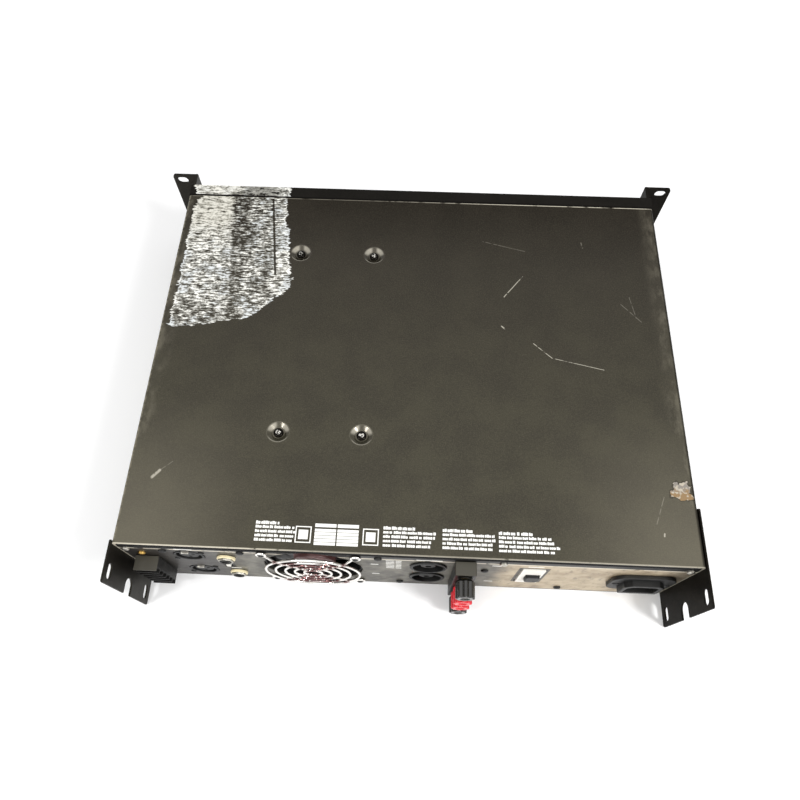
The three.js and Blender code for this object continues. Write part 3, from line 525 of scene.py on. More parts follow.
def cover_material():
    """The cover's paint, with what is left of a peeled label, scratches, chips and worn edges, and with
    painted light: a lighter rear, paler rear corners, and painted highlights on its edges and in its dimples.
    """
    s = coated("cover_paint", 0x17130F, 0x1E1A15)
    # Painted light: the paint turns lighter toward the rear, standing for the sheen of reflected light there.
    tone = s.mix(s.step(s.y, -190, 120), s.tone, paint_tone(s, 0x2A2821, 0x343228, 2.6, 30, 0.4, 0.12))

    # Paler toward both sides and the rear corners: partly dust in streaks along the sides, partly painted
    # reflected light toward the rear corners.
    from_side = HALF_BODY / MM - abs(s.x)
    streaks = s.step(s.noise(9, 4, 0.65, (1, 0.4, 1)), 0.4, 0.66)
    corner = s.step(s.y, 20, 175) * s.step(from_side, 130, 10)
    dust_and_sheen = s.most(s.step(from_side, 18, 2) * s.scaled(streaks, 0.1, 0.8), corner * 0.75)
    tone = s.mix(dust_and_sheen * 0.36, tone, 0x8A8474)

    # The peeled label has straight sides, a slanting corner and a frayed outline.
    sides = [((213, -100), (-1, 0.01)), ((212, -170), (-0.68, 0.74)), ((121, -140), (0.99, 0.13)),
             ((126.6, -53.5), (0.72, -0.7)), ((158, -32), (0.2, -0.98)), ((200, -24.5), (0, -1))]
    inside = s.least(*(s.beyond(point, inward) for point, inward in sides))
    smooth = s.step(s.y, -105, -150) * s.step(s.x, 168, 180)
    grey, white = peeled(s, inside, smooth)
    tone = peeled_tones(s, tone, grey, white, smooth)

    # Scratches bare a paler layer. The long one fades toward its ends.
    long_marks = [((-95, -89), (-78, -66), 0.55), ((-75, -35), (-78, -32), 0.8),
                  ((-102, -18), (-117, -4), 0.5), ((-117, -4), (-160, 6), 0.4),
                  ((200, 118), (195, 112), 1.6), ((-192.6, 149.5), (-192.9, 147.5), 0.8)]
    faint_marks = [((-60, -128), (-98, -118), 0.4), ((-180, -62), (-196, -44), 0.45),
                   ((-188, -70), (-192, -48), 0.35), ((-150, -130), (-151, -124), 0.7),
                   ((195, 112), (186, 104), 0.4), ((-196, 118), (-188, 140), 0.5)]
    skip = s.step(s.noise(4, 3), 0.35, 0.5)
    for marks, strength in ((long_marks, 0.75), (faint_marks, 0.22)):
        for start, end, width in marks:
            tone = s.mix(s.stroke(start, end, width) * skip * strength, tone, 0xB5B0A2)

    # A brown chip near the rear corner.
    chip_x, chip_y = s.x * 0.085 + 17.95, s.y * 0.1 - 11.2
    off = chip_x * chip_x + chip_y * chip_y + s.scaled(s.noise(6, 2, 0.5), -1.1, 1.1)
    chip = s.step(off, 0.62, 0.52)
    inner = s.y + s.scaled(s.noise(4, 3), -9, 9)
    rust = s.mix(s.step(inner, 110, 115), 0x87817A, 0x8C7353)
    rust = s.mix(s.step(s.noise(2.5, 3), 0.5, 0.62), rust, 0xB4AB9B)
    tone = s.mix(s.step(off, 0.85, 0.7) * 0.6, tone, 0x15120E)
    tone = s.mix(chip, tone, rust)

    # Paint is rubbed thin along one side's bend, and the other side's holds grime.
    bend = from_side + (TOP_Z / MM - s.z)
    rub = s.step(bend, 2.8, 1.4) * s.step(s.noise(3, 4, 0.7), 0.4, 0.56)
    tone = s.mix(rub * s.scaled(s.step(s.x, -50, 50), 0.08, 0.55), tone, CLEAN_EDGE)
    tone = s.mix(s.step(bend, 3.2, 1.6) * s.step(s.x, 0, -100) * 0.8, tone, SHADE_AND_GRIME_BLACK)
    # Painted highlights: broken pale lines along the rear lip, stronger toward +X, and along the front edge,
    # stronger toward -X, stand for light caught on the rounded edges.
    lip_highlight = s.step(COVER_HIGH.y / MM - s.y, 1.1, 0.5) * s.step(s.noise(6, 3, 0.6), 0.26, 0.42)
    lip_highlight = lip_highlight * s.scaled(s.step(s.x, 60, 130), 0.4, 0.8)
    edge = s.step(s.y - COVER_LOW.y / MM, 1.3, 0.6) * s.step(s.noise(9, 3, 0.6), 0.3, 0.5)
    edge = edge * s.scaled(s.step(s.x, 60, -120), 0.25, 1)
    tone = s.mix(s.most(lip_highlight, edge * 0.85), tone, 0xCFC8B6)

    # The paint round the pressed dimples is glossier. Painted highlights: pale crescents on both sides of
    # each dimple's wall nearer the front, and a thin pale line round the rim nearer the rear, stand for lamp
    # glints.
    near = []
    for node in SCREW_NODES:
        across, along, _ = s.from_node(node)
        reach = s.math("SQRT", across * across + along * along)
        rim = s.step(abs(reach - 8.8), 0.6, 0.2) * s.step(along, 3, 7)
        wall = s.strip(reach, 4.4, 6.4, 9.4, 8.0) * s.step(abs(across), 0.8, 3.6)
        wall = wall * s.step(along, 0.5, -3)
        tone = s.mix(s.most(rim * 0.3, wall * 0.42), tone, 0xD6D0C0)
        near.append(s.step(reach, 10.2, 9.2))
    polish = s.most(*near)

    sheen = s.scaled(s.step(s.y, -195, -80), 0.08, 0.41) * s.scaled(s.step(bend, 3.2, 1.6), 1, 0.3)
    s.set(Base_Color=tone, Roughness=s.most(grey, chip) * 0.35 + s.gloss - polish * 0.2,
          Specular_IOR_Level=s.most(sheen, polish * 0.95))
    s.bump(s.relief, 0.3, 0.8)
    s.bump(s.noise(90, 1), 0.35, 0.35)
    return s


def front_material():
    """The front panel's paint. The peeled label ran on over its top edge, short of the seam."""
    s = coated("front_paint", 0x0B0A09, 0x12100F, roughness=0.45, gloss=0.1, speckle=0.02)
    inside = s.least(s.beyond((124, -180), (1, 0.1)), s.beyond((216, -180), (-1, 0)))
    smooth = s.step(s.x, 166, 172)
    thin = s.strip(s.x, 134, 138, 170, 165)
    grey, white = peeled(s, inside - thin * 2.0, smooth)
    seam = FRONT_HIGH.y / MM
    clear = s.step(s.y, seam - 1.2, seam - 1.8)
    on_top = s.step(s.z, 86.8, 87.9) * clear
    white = white * s.scaled(thin, 1, 0.25) * on_top
    # A painted shadow: next to the seam under the cover, the top is near black.
    seam_shaded_tone = s.mix(clear, 0x060505, s.tone)
    s.set(Base_Color=peeled_tones(s, seam_shaded_tone, grey * on_top, white, smooth * 0.6))
    return s


def rear_material():
    """Zinc plate, warm beige on the mains side as painted reflected light and grey elsewhere as painted
    shade, darker and blotched behind the input sockets.
    """
    s = Surface("rear_plate", Metallic=0.45)
    # Painted light: the mains side is warm beige, standing for warm reflected light, and the rest is grey,
    # standing for shade.
    warm_reflection_side = s.step(s.x + s.scaled(s.noise(25, 2), -10, 10), -66, -86)
    grey = s.mix(s.step(s.noise(14, 4, 0.6), 0.35, 0.7), 0x6C695E, 0x3C3932)
    lit_beige = s.mix(s.step(s.noise(18, 4, 0.6), 0.35, 0.7), 0xB8A98F, 0x94836A)
    smudge = s.step(s.noise(6, 5, 0.7, (1, 1, 0.5)), 0.52, 0.72)
    tone = s.mix(smudge * 0.55, s.mix(warm_reflection_side, grey, lit_beige), 0x4A4238)
    # Darker and blotched toward the +X end, behind the input sockets. Near the -X end, a painted shadow of
    # the left rear ear darkens the plate.
    darker_input_end = s.step(s.x, 134, 158) * s.step(s.noise(3.2, 4, 0.7), 0.3, 0.44)
    tone = s.mix(s.most(darker_input_end, s.step(s.x, -192, -214) * 0.6) * 0.9, tone, 0x211C18)
    # Painted shade: the top of the plate under the cover's edge is near black, in a band that is deeper
    # toward -X. Below it runs a broken pale line, a painted highlight standing for the lit edge of the fold.
    below = PANEL_HIGH.z / MM - s.z - s.scaled(s.step(s.x, 130, 60), 1.2, 4.2)
    fold_highlight = s.step(below, 5.4, 4.4) * s.step(s.noise(8, 3, 0.6), 0.34, 0.46)
    tone = s.mix(fold_highlight * 0.85, tone, 0xE0D8C6)
    tone = s.mix(s.step(below, 3.2, 2.6), tone, SHADE_AND_GRIME_BLACK)
    # A painted shadow: a black line round the breaker stands for the shade in the gap round it.
    first, last, _ = measure("breaker_body")
    across, _, above = s.from_node("breaker_body")
    beside = s.most(abs(across) - (last.x - first.x) / 2 / MM, abs(above) - (last.z - first.z) / 2 / MM)
    s.set(Base_Color=s.mix(s.step(beside, 3.4, 2.8) * 0.9, tone, 0x0C0B0A),
          Roughness=s.scaled(s.noise(2.5, 3, stretch=(0.3, 1, 1)), 0.32, 0.55))
    s.bump(s.noise(0.7, 2, stretch=(0.2, 1, 1)), 0.03, 0.5)
    return s


def winding_material():
    """Varnished tape wound round a ring, turn beside turn."""
    s = Surface("winding_tape", Coat_Weight=0.3)
    across, along, _ = s.from_node("toroid_transformer")
    turns = s.math("SINE", s.math("ARCTAN2", along, across) * 90.0)
    light = s.mix(s.step(s.noise(12, 3), 0.3, 0.7), 0xC59A3C, 0x9E7826)
    s.set(Base_Color=s.mix(s.step(turns, -0.6, -1.0), light, 0x5C4517),
          Roughness=s.scaled(s.noise(4, 3), 0.3, 0.5))
    s.bump(turns, 0.25, 0.8)
    return s


def board_material():
    """Green solder mask with paler copper tracks under it."""
    s = Surface("circuit_board", Coat_Weight=0.2)
    tracks = s.step(s.cells(7, stretch=(1, 0.4, 1)), 0.32, 0.36)
    s.set(Base_Color=s.mix(tracks, 0x1D5534, 0x2F7A48), Roughness=s.scaled(s.noise(3, 2), 0.35, 0.5))
    s.bump(tracks, 0.05, 0.6)
    return s


def lens_material():
    s = Surface("smoked_lens", Coat_Weight=0.6)
    s.set(Base_Color=s.mix(s.noise(10, 3), 0x0C1013, 0x171B1F),
          Roughness=s.scaled(s.noise(2, 4), 0.08, 0.22))
    return s


def lamp_material(code):
    s = Surface(f"lamp_{code:06x}", Coat_Weight=0.8)
    s.set(Base_Color=s.mix(s.noise(0.8, 2), code, 0x1A1A1A), Roughness=s.scaled(s.noise(1, 2), 0.15, 0.3))
    return s


def ink_material():
    s = Surface("pale_ink")
    s.set(Base_Color=s.mix(s.step(s.noise(0.7, 3, 0.7), 0.62, 0.72) * 0.3, 0xF4F3EE, 0x8F8D84),
          Roughness=s.scaled(s.noise(2, 2), 0.5, 0.65))
    return s


def ear_material():
    """The cover's paint, nearly black, and duller on the left."""
    s = coated("ear_steel", 0x0C0A09, 0x151311, 0.42, speckle=0.03)
    s.set(Specular_IOR_Level=s.scaled(s.step(s.x, -100, 100), 0.05, 0.24))
    return s


def guard_material():
    """Bright chrome wire at both sides of the guard. Above and below the hub the wire is brown, partly
    tarnish and partly a painted reflection of the hub, with pale flecks as painted highlights.
    """
    s = Surface("chrome_wire", Metallic=1.0)
    across, _, above = map(abs, s.from_node("fan_guard"))
    plain_chrome = s.step(across - above * 1.1 + s.scaled(s.noise(5, 2), -8, 8), -7, 3)
    corner = s.step(s.most(across, above), 28, 31)
    brown = s.mix(s.step(s.noise(2.2, 2, 0.6), 0.56, 0.62), 0x7A5A58, 0xF0ECE6)
    s.set(Base_Color=s.mix(s.most(plain_chrome, corner), brown, WHITE_METAL),
          Roughness=s.scaled(s.noise(1.2, 3), 0.1, 0.28))
    return s


def dark_screw_material():
    """Blackened screws. Pale flecks round the middle of each cover screw are painted highlights standing for
    glints.
    """
    s = Surface("dark_screw", Metallic=1.0)
    near = []
    for node in SCREW_NODES:
        across, along, _ = s.from_node(node)
        near.append(s.step(across * across + along * along, 5.5, 3.5))
    flecks = s.most(*near) * s.step(s.noise(1.3, 2, 0.6), 0.47, 0.53)
    s.set(Base_Color=s.mix(flecks, 0x1D1B18, 0xF0EDE4), Roughness=s.scaled(s.noise(1.2, 3), 0.2, 0.4))
    return s


def fan_material():
    """Black blades round a brown-purple hub."""
    s = Surface("fan_plastic", Coat_Weight=0.3)
    across, _, above = s.from_node("fan_rotor")
    hub = s.step(across * across + above * above, 19 ** 2, 17.5 ** 2)
    brown = s.mix(s.step(s.noise(9, 3), 0.38, 0.62), 0x5A3C3A, 0x7A5A58)
    s.set(Base_Color=s.mix(hub, 0x171414, brown), Roughness=s.scaled(s.noise(4, 3), 0.22, 0.4))
    return s


def grey_plastic_material():
    """Dark plastic with faint paler clouds. The top faces of the strip and of the post block are painted
    paler, as painted light falling on them from above.
    """
    s = Surface("grey_plastic", Specular_IOR_Level=0.25)
    strip_top, block_top = (measure(node)[1].z / MM for node in ("barrier_strip", "post_housing"))
    lit_top = s.step(s.z, strip_top - 0.8, strip_top - 0.3) * s.step(s.x, 100, 150)
    lit_top = s.most(lit_top, s.step(s.z, block_top - 0.8, block_top - 0.3))
    tone = s.mix(s.step(s.noise(9, 4, 0.65), 0.45, 0.75) * 0.15, 0x11100F, 0x5C5A53)
    s.set(Base_Color=s.mix(lit_top * 0.75, tone, 0x514E45), Roughness=s.scaled(s.noise(3, 3), 0.3, 0.5))
    s.bump(s.noise(0.5, 2), 0.03, 0.5)
    return s


# What makes each finish: one for each slot of the record, and a few that single pieces have.
MAKERS = {
    "black_steel": (coated, 0x26231C, 0x2F2C24),
    "ear_steel": ear_material,
    "rear_steel": rear_material,
    "front_paint": front_material,
    "black_plastic": (moulded, 0x141413, 0.45, 0x504E48, 0.3),
    "grey_plastic": grey_plastic_material,
    "red_plastic": (moulded, 0xD01C2A, 0.25, 0xA03038),
    "cream_nut": (moulded, 0xE3D6AE, 0.3, 0xA08B58),
    "white_plastic": (moulded, 0xE4E1D8, 0.45, 0xA9A498),
    "brass": (plated, 0xC9A45C, 0x8A6A34, 0.28),
    "chrome_wire": guard_material,
    "zinc": (plated, 0xB9B6AD, 0x7F7A70, 0.35),
    "aluminium": (plated, 0xB9BCBF, 0x8B8D8F, 0.4, (0.1, 1, 1)),
    "circuit_board": board_material,
    "capacitor_sleeve": (moulded, 0x1E2742, 0.35, 0x4A5068),
    "winding": winding_material,
    "lens": lens_material,
    "cover_paint": cover_material,
    "dark_screw": dark_screw_material,
    "dark_washer": (plated, 0x2E2C29, 0x1A1917, 0.4),
    "fan_plastic": fan_material,
    "cap_black": (moulded, 0x1A1915, 0.14, 0x3C3A33, 0.8),
    "pale_ink": ink_material,
}
MADE = {}


def finish(name):
    """The material of a finish, made once. A number stands for a lamp of that colour."""
    if name not in MADE:
        if isinstance(name, int):
            surface = lamp_material(name)
        elif callable(MAKERS[name]):
            surface = MAKERS[name]()
        else:
            maker, *values = MAKERS[name]
            surface = maker(name, *values)
        MADE[name] = surface.material
    return MADE[name]


# ---- screws
SCREW_MESHES = {}


def screw_head(spot, toward, radius, height, turn):
    """A pan head with a cross recess, seated at spot and facing toward."""
    key = (round(radius / MM, 3), round(height / MM, 3))
    if key not in SCREW_MESHES:
        dome = [(radius * math.cos(a), height * (0.35 + 0.65 * math.sin(a)))
                for a in (math.radians(10 * k) for k in range(9))]
        head = lathe("head", [(0, 0), (radius, 0), *dome, (0, height)], Vector(), "Z", 32)
        slot, reach, floor, apart = 0.19 * radius, 0.62 * radius, 0.35 * height, 1e-5
        cross = merged("cross", [
            box("slot", (-reach, -slot, floor), (reach, slot, 2 * height)),
            box("slot", (-slot, -reach, floor + apart), (slot, reach, 2 * height + apart)),
        ])
        carve(head, [cross])
        SCREW_MESHES[key] = head.data
        bpy.data.objects.remove(head)
    mesh = SCREW_MESHES[key].copy()
    facing = Vector(toward).to_track_quat("Z", "Y").to_matrix().to_4x4()
    mesh.transform(Matrix.Translation(spot) @ facing @ Matrix.Rotation(turn, 4, "Z"))
    return new_object("head", mesh)


def screw(name, spot, slot, radius, height, turn, toward=OUTWARD):
    """A screw head in its finish, with its radius and height in millimetres."""
    fit(screw_head(Vector(spot), toward, radius * MM, height * MM, turn), name, slot)


# ---- shells
def top_cover():
    """A trough of sheet steel, open below, with four pressed dimples."""
    foot, inner, bend = COVER_LOW.z, HALF_BODY - SHEET, 2.5 * MM
    trough = rounded([
        (inner, foot, 0), (HALF_BODY, foot, 0), (HALF_BODY, TOP_Z, bend), (-HALF_BODY, TOP_Z, bend),
        (-HALF_BODY, foot, 0), (-inner, foot, 0), (-inner, TOP_Z - SHEET, bend - SHEET),
        (inner, TOP_Z - SHEET, bend - SHEET),
    ])
    cover = plate("cover", [trough], (COVER_LOW.y, COVER_HIGH.y), "Y", 0.3 * MM)
    rim, floor, hole = 9 * MM, 5 * MM, 2.2 * MM
    bottom, skim, above, wide = TOP_Z - DIMPLE_DEPTH, TOP_Z + 0.02 * MM, TOP_Z + 2 * MM, rim + 4 * MM
    under = [(0, bottom - SHEET, 0), (floor + 0.8 * MM, bottom - SHEET, 0.8 * MM),
             (rim + 0.8 * MM, TOP_Z - SHEET / 2, 0), (0, TOP_Z - SHEET / 2, 0)]
    hollow = [(0, bottom - 3 * MM, 0), (hole, bottom - 3 * MM, 0), (hole, bottom, 0),
              (floor, bottom, 1.2 * MM), (rim, skim, 2.2 * MM), (wide, skim, 0), (wide, above, 0),
              (0, above, 0)]
    for profile, operation in ((under, "UNION"), (hollow, "DIFFERENCE")):
        tools = [lathe("dimple", rounded(profile), centre(node), "Z") for node in SCREW_NODES]
        carve(cover, tools, operation)
    fit(cover, "cover_shell", "black_steel", "top_cover", material="cover_paint", smooth=40)


def cover_screws():
    seat, shank = TOP_Z - DIMPLE_DEPTH + 0.3 * MM, 1.9 * MM
    for i, node in enumerate(SCREW_NODES):
        first, last, middle = measure(node)
        spot = Vector((middle.x, middle.y, seat))
        head = screw_head(spot, (0, 0, 1), 4 * MM, last.z - seat, 0.4 + 1.1 * i)
        profile = [(0, first.z), (shank, first.z), (shank, seat), (0, seat)]
        whole = merged("screw", [head, lathe("shank", profile, middle, "Z", 24)])
        fit(whole, f"{node}_detail", "zinc", node, material="dark_screw")


def rear_panel():
    """The panel stands up from the pan, folds forward at the top and is pierced for its fittings."""
    back, fold, bend = PANEL_Y - SHEET, PANEL_Y - 12 * MM, 1.8 * MM
    foot, top = PANEL_LOW.z, PANEL_HIGH.z
    angle = rounded([
        (back, foot, 0), (PANEL_Y, foot, 0), (PANEL_Y, top, bend), (fold, top, 0),
        (fold, top - SHEET, 0), (back, top - SHEET, bend - SHEET),
    ])
    panel = plate("panel", [angle], (PANEL_LOW.x, PANEL_HIGH.x), "X", 0.2 * MM)
    through = (back - MM, PANEL_Y + MM)
    radii = {"fan_rotor": 39.5}
    for i in (1, 2):
        radii |= {f"speaker_socket_{i}": 12.9, f"xlr_input_{i}": 12.4, f"trs_nut_{i}": 4.8}
    radii |= {f"post_stud_{i}": 3.6 for i in range(1, 5)}
    tools = [bar(centre(node).x, centre(node).z, radius * MM, through) for node, radius in radii.items()]
    for node, clear in (("mode_switch_body", 0.3 * MM), ("breaker_body", 0.9 * MM)):
        first, last, _ = measure(node)
        tools.append(box("hole", (first.x - clear, through[0], first.z - clear),
                         (last.x + clear, through[1], last.z + clear)))
    for node, half_width, half_height in (("barrier_strip", 6.2, 20), ("mains_inlet", 14, 10.5)):
        middle, w, h = centre(node), half_width * MM, half_height * MM
        tools.append(box("hole", (middle.x - w, through[0], middle.z - h),
                         (middle.x + w, through[1], middle.z + h)))
    carve(panel, tools)
    fan_x, reach = centre("fan_frame").x, 41 * MM
    carve(panel, [box("notch", (fan_x - reach, fold - MM, top - 5 * MM), (fan_x + reach, back, top + MM))])
    fit(panel, "rear_panel_plate", "rear_steel", "rear_panel", edge=0.15 * MM)


def front_ear(name, side):
    """A face with two slots, and a flange that runs back along the case."""
    first, last, _ = measure(f"front_ear_{name}")
    sheet, radius, edge = 2.5 * MM, 3 * MM, 0.35 * MM
    inner, outer = sorted((first.x, last.x), key=abs)
    face = rounded([(inner, first.z, 0), (outer, first.z, radius), (outer, last.z, radius),
                    (inner, last.z, 0)], 8)
    slots = [oblong(side * 232.55 * MM, z * MM, 10.3 * MM, 6.8 * MM, 3.39 * MM) for z in (82.15, 5.95)]
    ear = plate("ear", [face, *slots], (first.y, first.y + sheet), "Y", edge)
    step, tuck, corner = FRONT_LOW.y - 0.3 * MM, 4 * MM, 2 * MM
    side_view = rounded([
        (first.y, first.z, 0), (step, first.z, 0), (step, first.z + tuck, 0),
        (last.y, first.z + tuck, corner), (last.y, last.z - tuck, corner),
        (step, last.z - tuck, 0), (step, last.z, 0), (first.y, last.z, 0),
    ])
    carve(ear, [plate("flange", [side_view], (inner, inner + side * sheet), "X", edge)], "UNION")
    fit(ear, f"front_ear_{name}_bracket", "ear_steel", f"front_ear_{name}")


def rear_ear(name, side):
    """A plate with two slots and a notch. The right one stands lower where it lies on the cover."""
    first, last, _ = measure(f"rear_ear_{name}")
    tip, notch, middle, half = last.y, last.y - 13.3 * MM, 43 * MM, 6 * MM
    corner, small, notch_radius = 2 * MM, 0.8 * MM, 0.99 * half
    step_y, step_z = COVER_HIGH.y - 3 * MM, 76 * MM
    lower_end = [(first.y, last.z, corner)]
    if side > 0:
        lower_end = [(step_y, last.z, small), (step_y, step_z, small), (first.y, step_z, corner)]
    outline = rounded([
        (first.y, first.z, corner), (tip, first.z, corner), (tip, middle - half, small),
        (notch, middle - half, notch_radius), (notch, middle + half, notch_radius),
        (tip, middle + half, small), (tip, last.z, corner), *lower_end,
    ], 8)
    slots = [oblong(tip - 10 * MM, z * MM, 12 * MM, 6.5 * MM, 3.24 * MM) for z in (79.55, 8.55)]
    ear = plate("ear", [outline, *slots], (first.x, last.x), "X", 0.35 * MM)
    fit(ear, f"rear_ear_{name}_bracket", "ear_steel", f"rear_ear_{name}")
    outside = side * max(abs(first.x), abs(last.x))
    for i, z in enumerate((20, 68)):
        screw(f"rear_ear_{name}_screw_{i + 1}", (outside, 140 * MM, z * MM), "ear_steel", 4, 1.8, 0.5 * i,
              toward=(side, 0, 0))


def ears():
    for side, name in ((-1, "left"), (1, "right")):
        front_ear(name, side)
        rear_ear(name, side)


# ---- cooling
HUB, BORE = 17 * MM, 38 * MM
FAN_SCREWS = [(u * 35.75 * MM, v * 35.75 * MM) for u in (1, -1) for v in (1, -1)]


def fan_frame():
    """A square moulding round the bore, with a seat for the motor on four arms."""
    first, last, middle = measure("fan_frame")
    holes = [disc(middle.x + u, middle.z + v, 2.2 * MM, 20) for u, v in FAN_SCREWS]
    outlines = [around_node("fan_frame", 4 * MM), disc(middle.x, middle.z, BORE, 72), *holes]
    moulding = plate("frame", outlines, (first.y, last.y), "Y", 0.4 * MM)
    seat = plate("seat", [disc(middle.x, middle.z, HUB, 48)], (first.y, first.y + 3 * MM), "Y")
    carve(moulding, [seat], "UNION")
    for quarter in range(4):
        arm = box("arm", (HUB - MM, first.y + 0.1 * MM, -2 * MM), (BORE + MM, first.y + 2.9 * MM, 2 * MM))
        turn = Matrix.Rotation(math.radians(90 * quarter + 45), 4, "Y")
        arm.data.transform(Matrix.Translation((middle.x, 0, middle.z)) @ turn)
        carve(moulding, [arm], "UNION")
    fit(moulding, "fan_frame_moulding", "black_plastic", "fan_frame", edge=0.2 * MM)


def fan_rotor():
    first, last, _ = measure("fan_rotor")
    profile = rounded([(0, first.y, 0), (HUB, first.y, 0.6 * MM), (HUB, last.y, 1.6 * MM), (0, last.y, 0)])
    middle = centre("fan_frame")
    pieces = [lathe("rotor", profile, middle), *(fan_blade(middle, k) for k in range(7))]
    fit(merged("rotor", pieces), "fan_rotor_blades", "black_plastic", "fan_rotor",
        material="fan_plastic", smooth=40)


def fan_blade(middle, k):
    """A cambered blade, steep at its root and flatter toward its tip."""
    chord, camber, thickness, across, up = 19 * MM, 2.4 * MM, 1.3 * MM, 10, 8
    root, tip = HUB - 0.6 * MM, 36.2 * MM
    turn = Matrix.Rotation(math.tau * k / 7, 3, "Y")
    mid_y = centre("fan_rotor").y
    work = bmesh.new()
    sides = []
    for lift in (0, thickness):
        grid = []
        for j in range(up + 1):
            height = root + (tip - root) * j / up
            pitch = math.radians(52 - 24 * j / up)
            row = []
            for i in range(across + 1):
                t = i / across
                swept = 0.12 * chord * (j / up) ** 2
                u = chord * (t - 0.5) * (0.86 + 0.14 * j / up) + swept
                v = camber * math.sin(math.pi * t) + lift * (0.35 + 0.65 * math.sin(math.pi * t))
                spot = turn @ Vector((u * math.cos(pitch) - v * math.sin(pitch),
                                      u * math.sin(pitch) + v * math.cos(pitch), height))
                row.append(work.verts.new((middle.x + spot.x, mid_y + spot.y, middle.z + spot.z)))
            grid.append(row)
        sides.append(grid)
        for j in range(up):
            for i in range(across):
                work.faces.new((grid[j][i], grid[j][i + 1], grid[j + 1][i + 1], grid[j + 1][i]))
    rims = [[row[0] for row in g] + list(g[-1][1:]) + [row[-1] for row in reversed(g[:-1])]
            + list(reversed(g[0][1:-1])) for g in sides]
    count = len(rims[0])
    for i in range(count):
        j = (i + 1) % count
        work.faces.new((rims[0][i], rims[0][j], rims[1][j], rims[1][i]))
    bmesh.ops.recalc_face_normals(work, faces=work.faces)
    return built("blade", work)


def fan_guard():
    """Rings of wire on four struts, which bend back to an eyelet at each screw."""
    middle = centre("fan_frame")
    ring_y, thick = PANEL_Y + 4.7 * MM, 1.1 * MM
    pieces = []

    def ring(name, u, v, y, radius, steps):
        circle = [(x, y, z) for x, z in disc(middle.x + u, middle.z + v, radius, steps)]
        pieces.append(wire(name, circle, thick, cyclic=True))

    for radius in (7.1, 14.7, 22.3, 29.9, 37.5):
        ring("ring", 0, 0, ring_y, radius * MM, 80)
    eye, eye_y, strut_y = 3.4 * MM, PANEL_Y + thick + 0.3 * MM, ring_y - 0.7 * thick
    for i, (u, v) in enumerate(FAN_SCREWS):
        away, corner = Vector((u, 0, v)).normalized(), math.hypot(u, v)
        places = [(6.1 * MM, strut_y), (38 * MM, strut_y), (40 * MM, strut_y - 0.4 * MM),
                  (corner - eye - 0.6 * MM, eye_y + 0.3 * MM), (corner - eye, eye_y)]
        path = [Vector((middle.x, y, middle.z)) + away * reach for reach, y in places]
        pieces.append(wire("strut", path, thick))
        ring("eyelet", u, v, eye_y, eye, 32)
        screw(f"fan_screw_{i + 1}", (middle.x + u, PANEL_Y + 0.1 * MM, middle.z + v), "black_plastic",
              3.1, 3.2, 0.7 * i)
    fit(merged("guard", pieces), "fan_guard_wires", "chrome_wire", "fan_guard", smooth=60)


# ---- input connectors
def xlr_input(i):
    node, latch = f"xlr_input_{i}", f"xlr_latch_{i}"
    first, last, middle = measure(node)
    out, groove_out, groove_in = 12 * MM, 10 * MM, 7.7 * MM
    floor, nose = last.y - 14 * MM, last.y - MM
    profile = rounded([
        (0, first.y, 0), (out, first.y, 0.5 * MM), (out, last.y, 0.5 * MM),
        (groove_out, last.y, 0.5 * MM), (groove_out, floor, 0.3 * MM),
        (groove_in, floor, 0.3 * MM), (groove_in, nose, 0.6 * MM), (0, nose, 0),
    ], 4)
    body = lathe("xlr", profile, middle, steps=72)
    tools = [box("notch", (middle.x - 3.4 * MM, last.y - 13 * MM, middle.z + 9.2 * MM),
                 (middle.x + 3.4 * MM, last.y + MM, middle.z + 13 * MM))]
    for turn in (-90, 30, 150):
        a = math.radians(turn)
        tools.append(bar(middle.x + 4.2 * MM * math.cos(a), middle.z + 4.2 * MM * math.sin(a), 1.4 * MM,
                         (nose - 10 * MM, nose + MM), 24))
    carve(body, tools)
    fit(body, f"{node}_socket", "black_plastic", node, smooth=30)
    fit_copies((latch, f"{latch}_tab", "zinc", 0.5))
    for j, side in enumerate((-1, 1)):
        spot = (middle.x + side * 11.6 * MM, PANEL_Y, middle.z - side * 8.4 * MM)
        screw(f"xlr_screw_{i}_{j + 1}", spot, "black_plastic", 2.3, 1.2, 0.4 * j)


def hex_radius(radius, angle):
    """Cuts six flats into a round nut, and leaves its bore round."""
    if radius < 5 * MM:
        return radius
    within = (angle + math.pi / 6) % (math.pi / 3) - math.pi / 6
    return radius * min(1, 0.9 / math.cos(within))


def trs_jack(i):
    node, nut = f"trs_jack_{i}", f"trs_nut_{i}"
    first, last, _ = measure(node)
    nut_first, nut_last, middle = measure(nut)
    bush, bore, body_end, half = 4.5 * MM, 3.2 * MM, PANEL_Y - 1.8 * MM, 7.5 * MM
    tube = lathe("bush", rounded([
        (0, body_end - MM, 0), (bush, body_end - MM, 0), (bush, last.y, 0.4 * MM),
        (bore, last.y, 0.4 * MM), (bore, body_end, 0), (0, body_end, 0),
    ], 3), middle)
    body = box("body", (first.x, first.y, middle.z - half), (last.x, body_end, middle.z + half))
    carve(body, [bar(middle.x, middle.z, bore, (first.y + 3 * MM, body_end + MM))])
    carve(body, [tube], "UNION")
    fit(body, f"{node}_bush", "black_plastic", node, smooth=30)
    out, inner, hexagon, seat = 7.2 * MM, 4.8 * MM, 6.3 * MM, nut_first.y + 2.1 * MM
    washer = rounded([(inner, nut_first.y, 0), (out, nut_first.y, 0.2 * MM), (out, seat, 0.8 * MM),
                      (inner, seat, 0)], 3)
    fit(lathe("washer", washer, middle, steps=72), f"{nut}_washer", "cream_nut", nut)
    flats = rounded([(inner, seat, 0), (hexagon, seat, 0), (hexagon, nut_last.y, 0.6 * MM),
                     (inner, nut_last.y, 0.4 * MM)], 3)
    fit(lathe("nut", flats, middle, steps=72, ripple=hex_radius), f"{nut}_hex", "cream_nut",
        material="zinc")


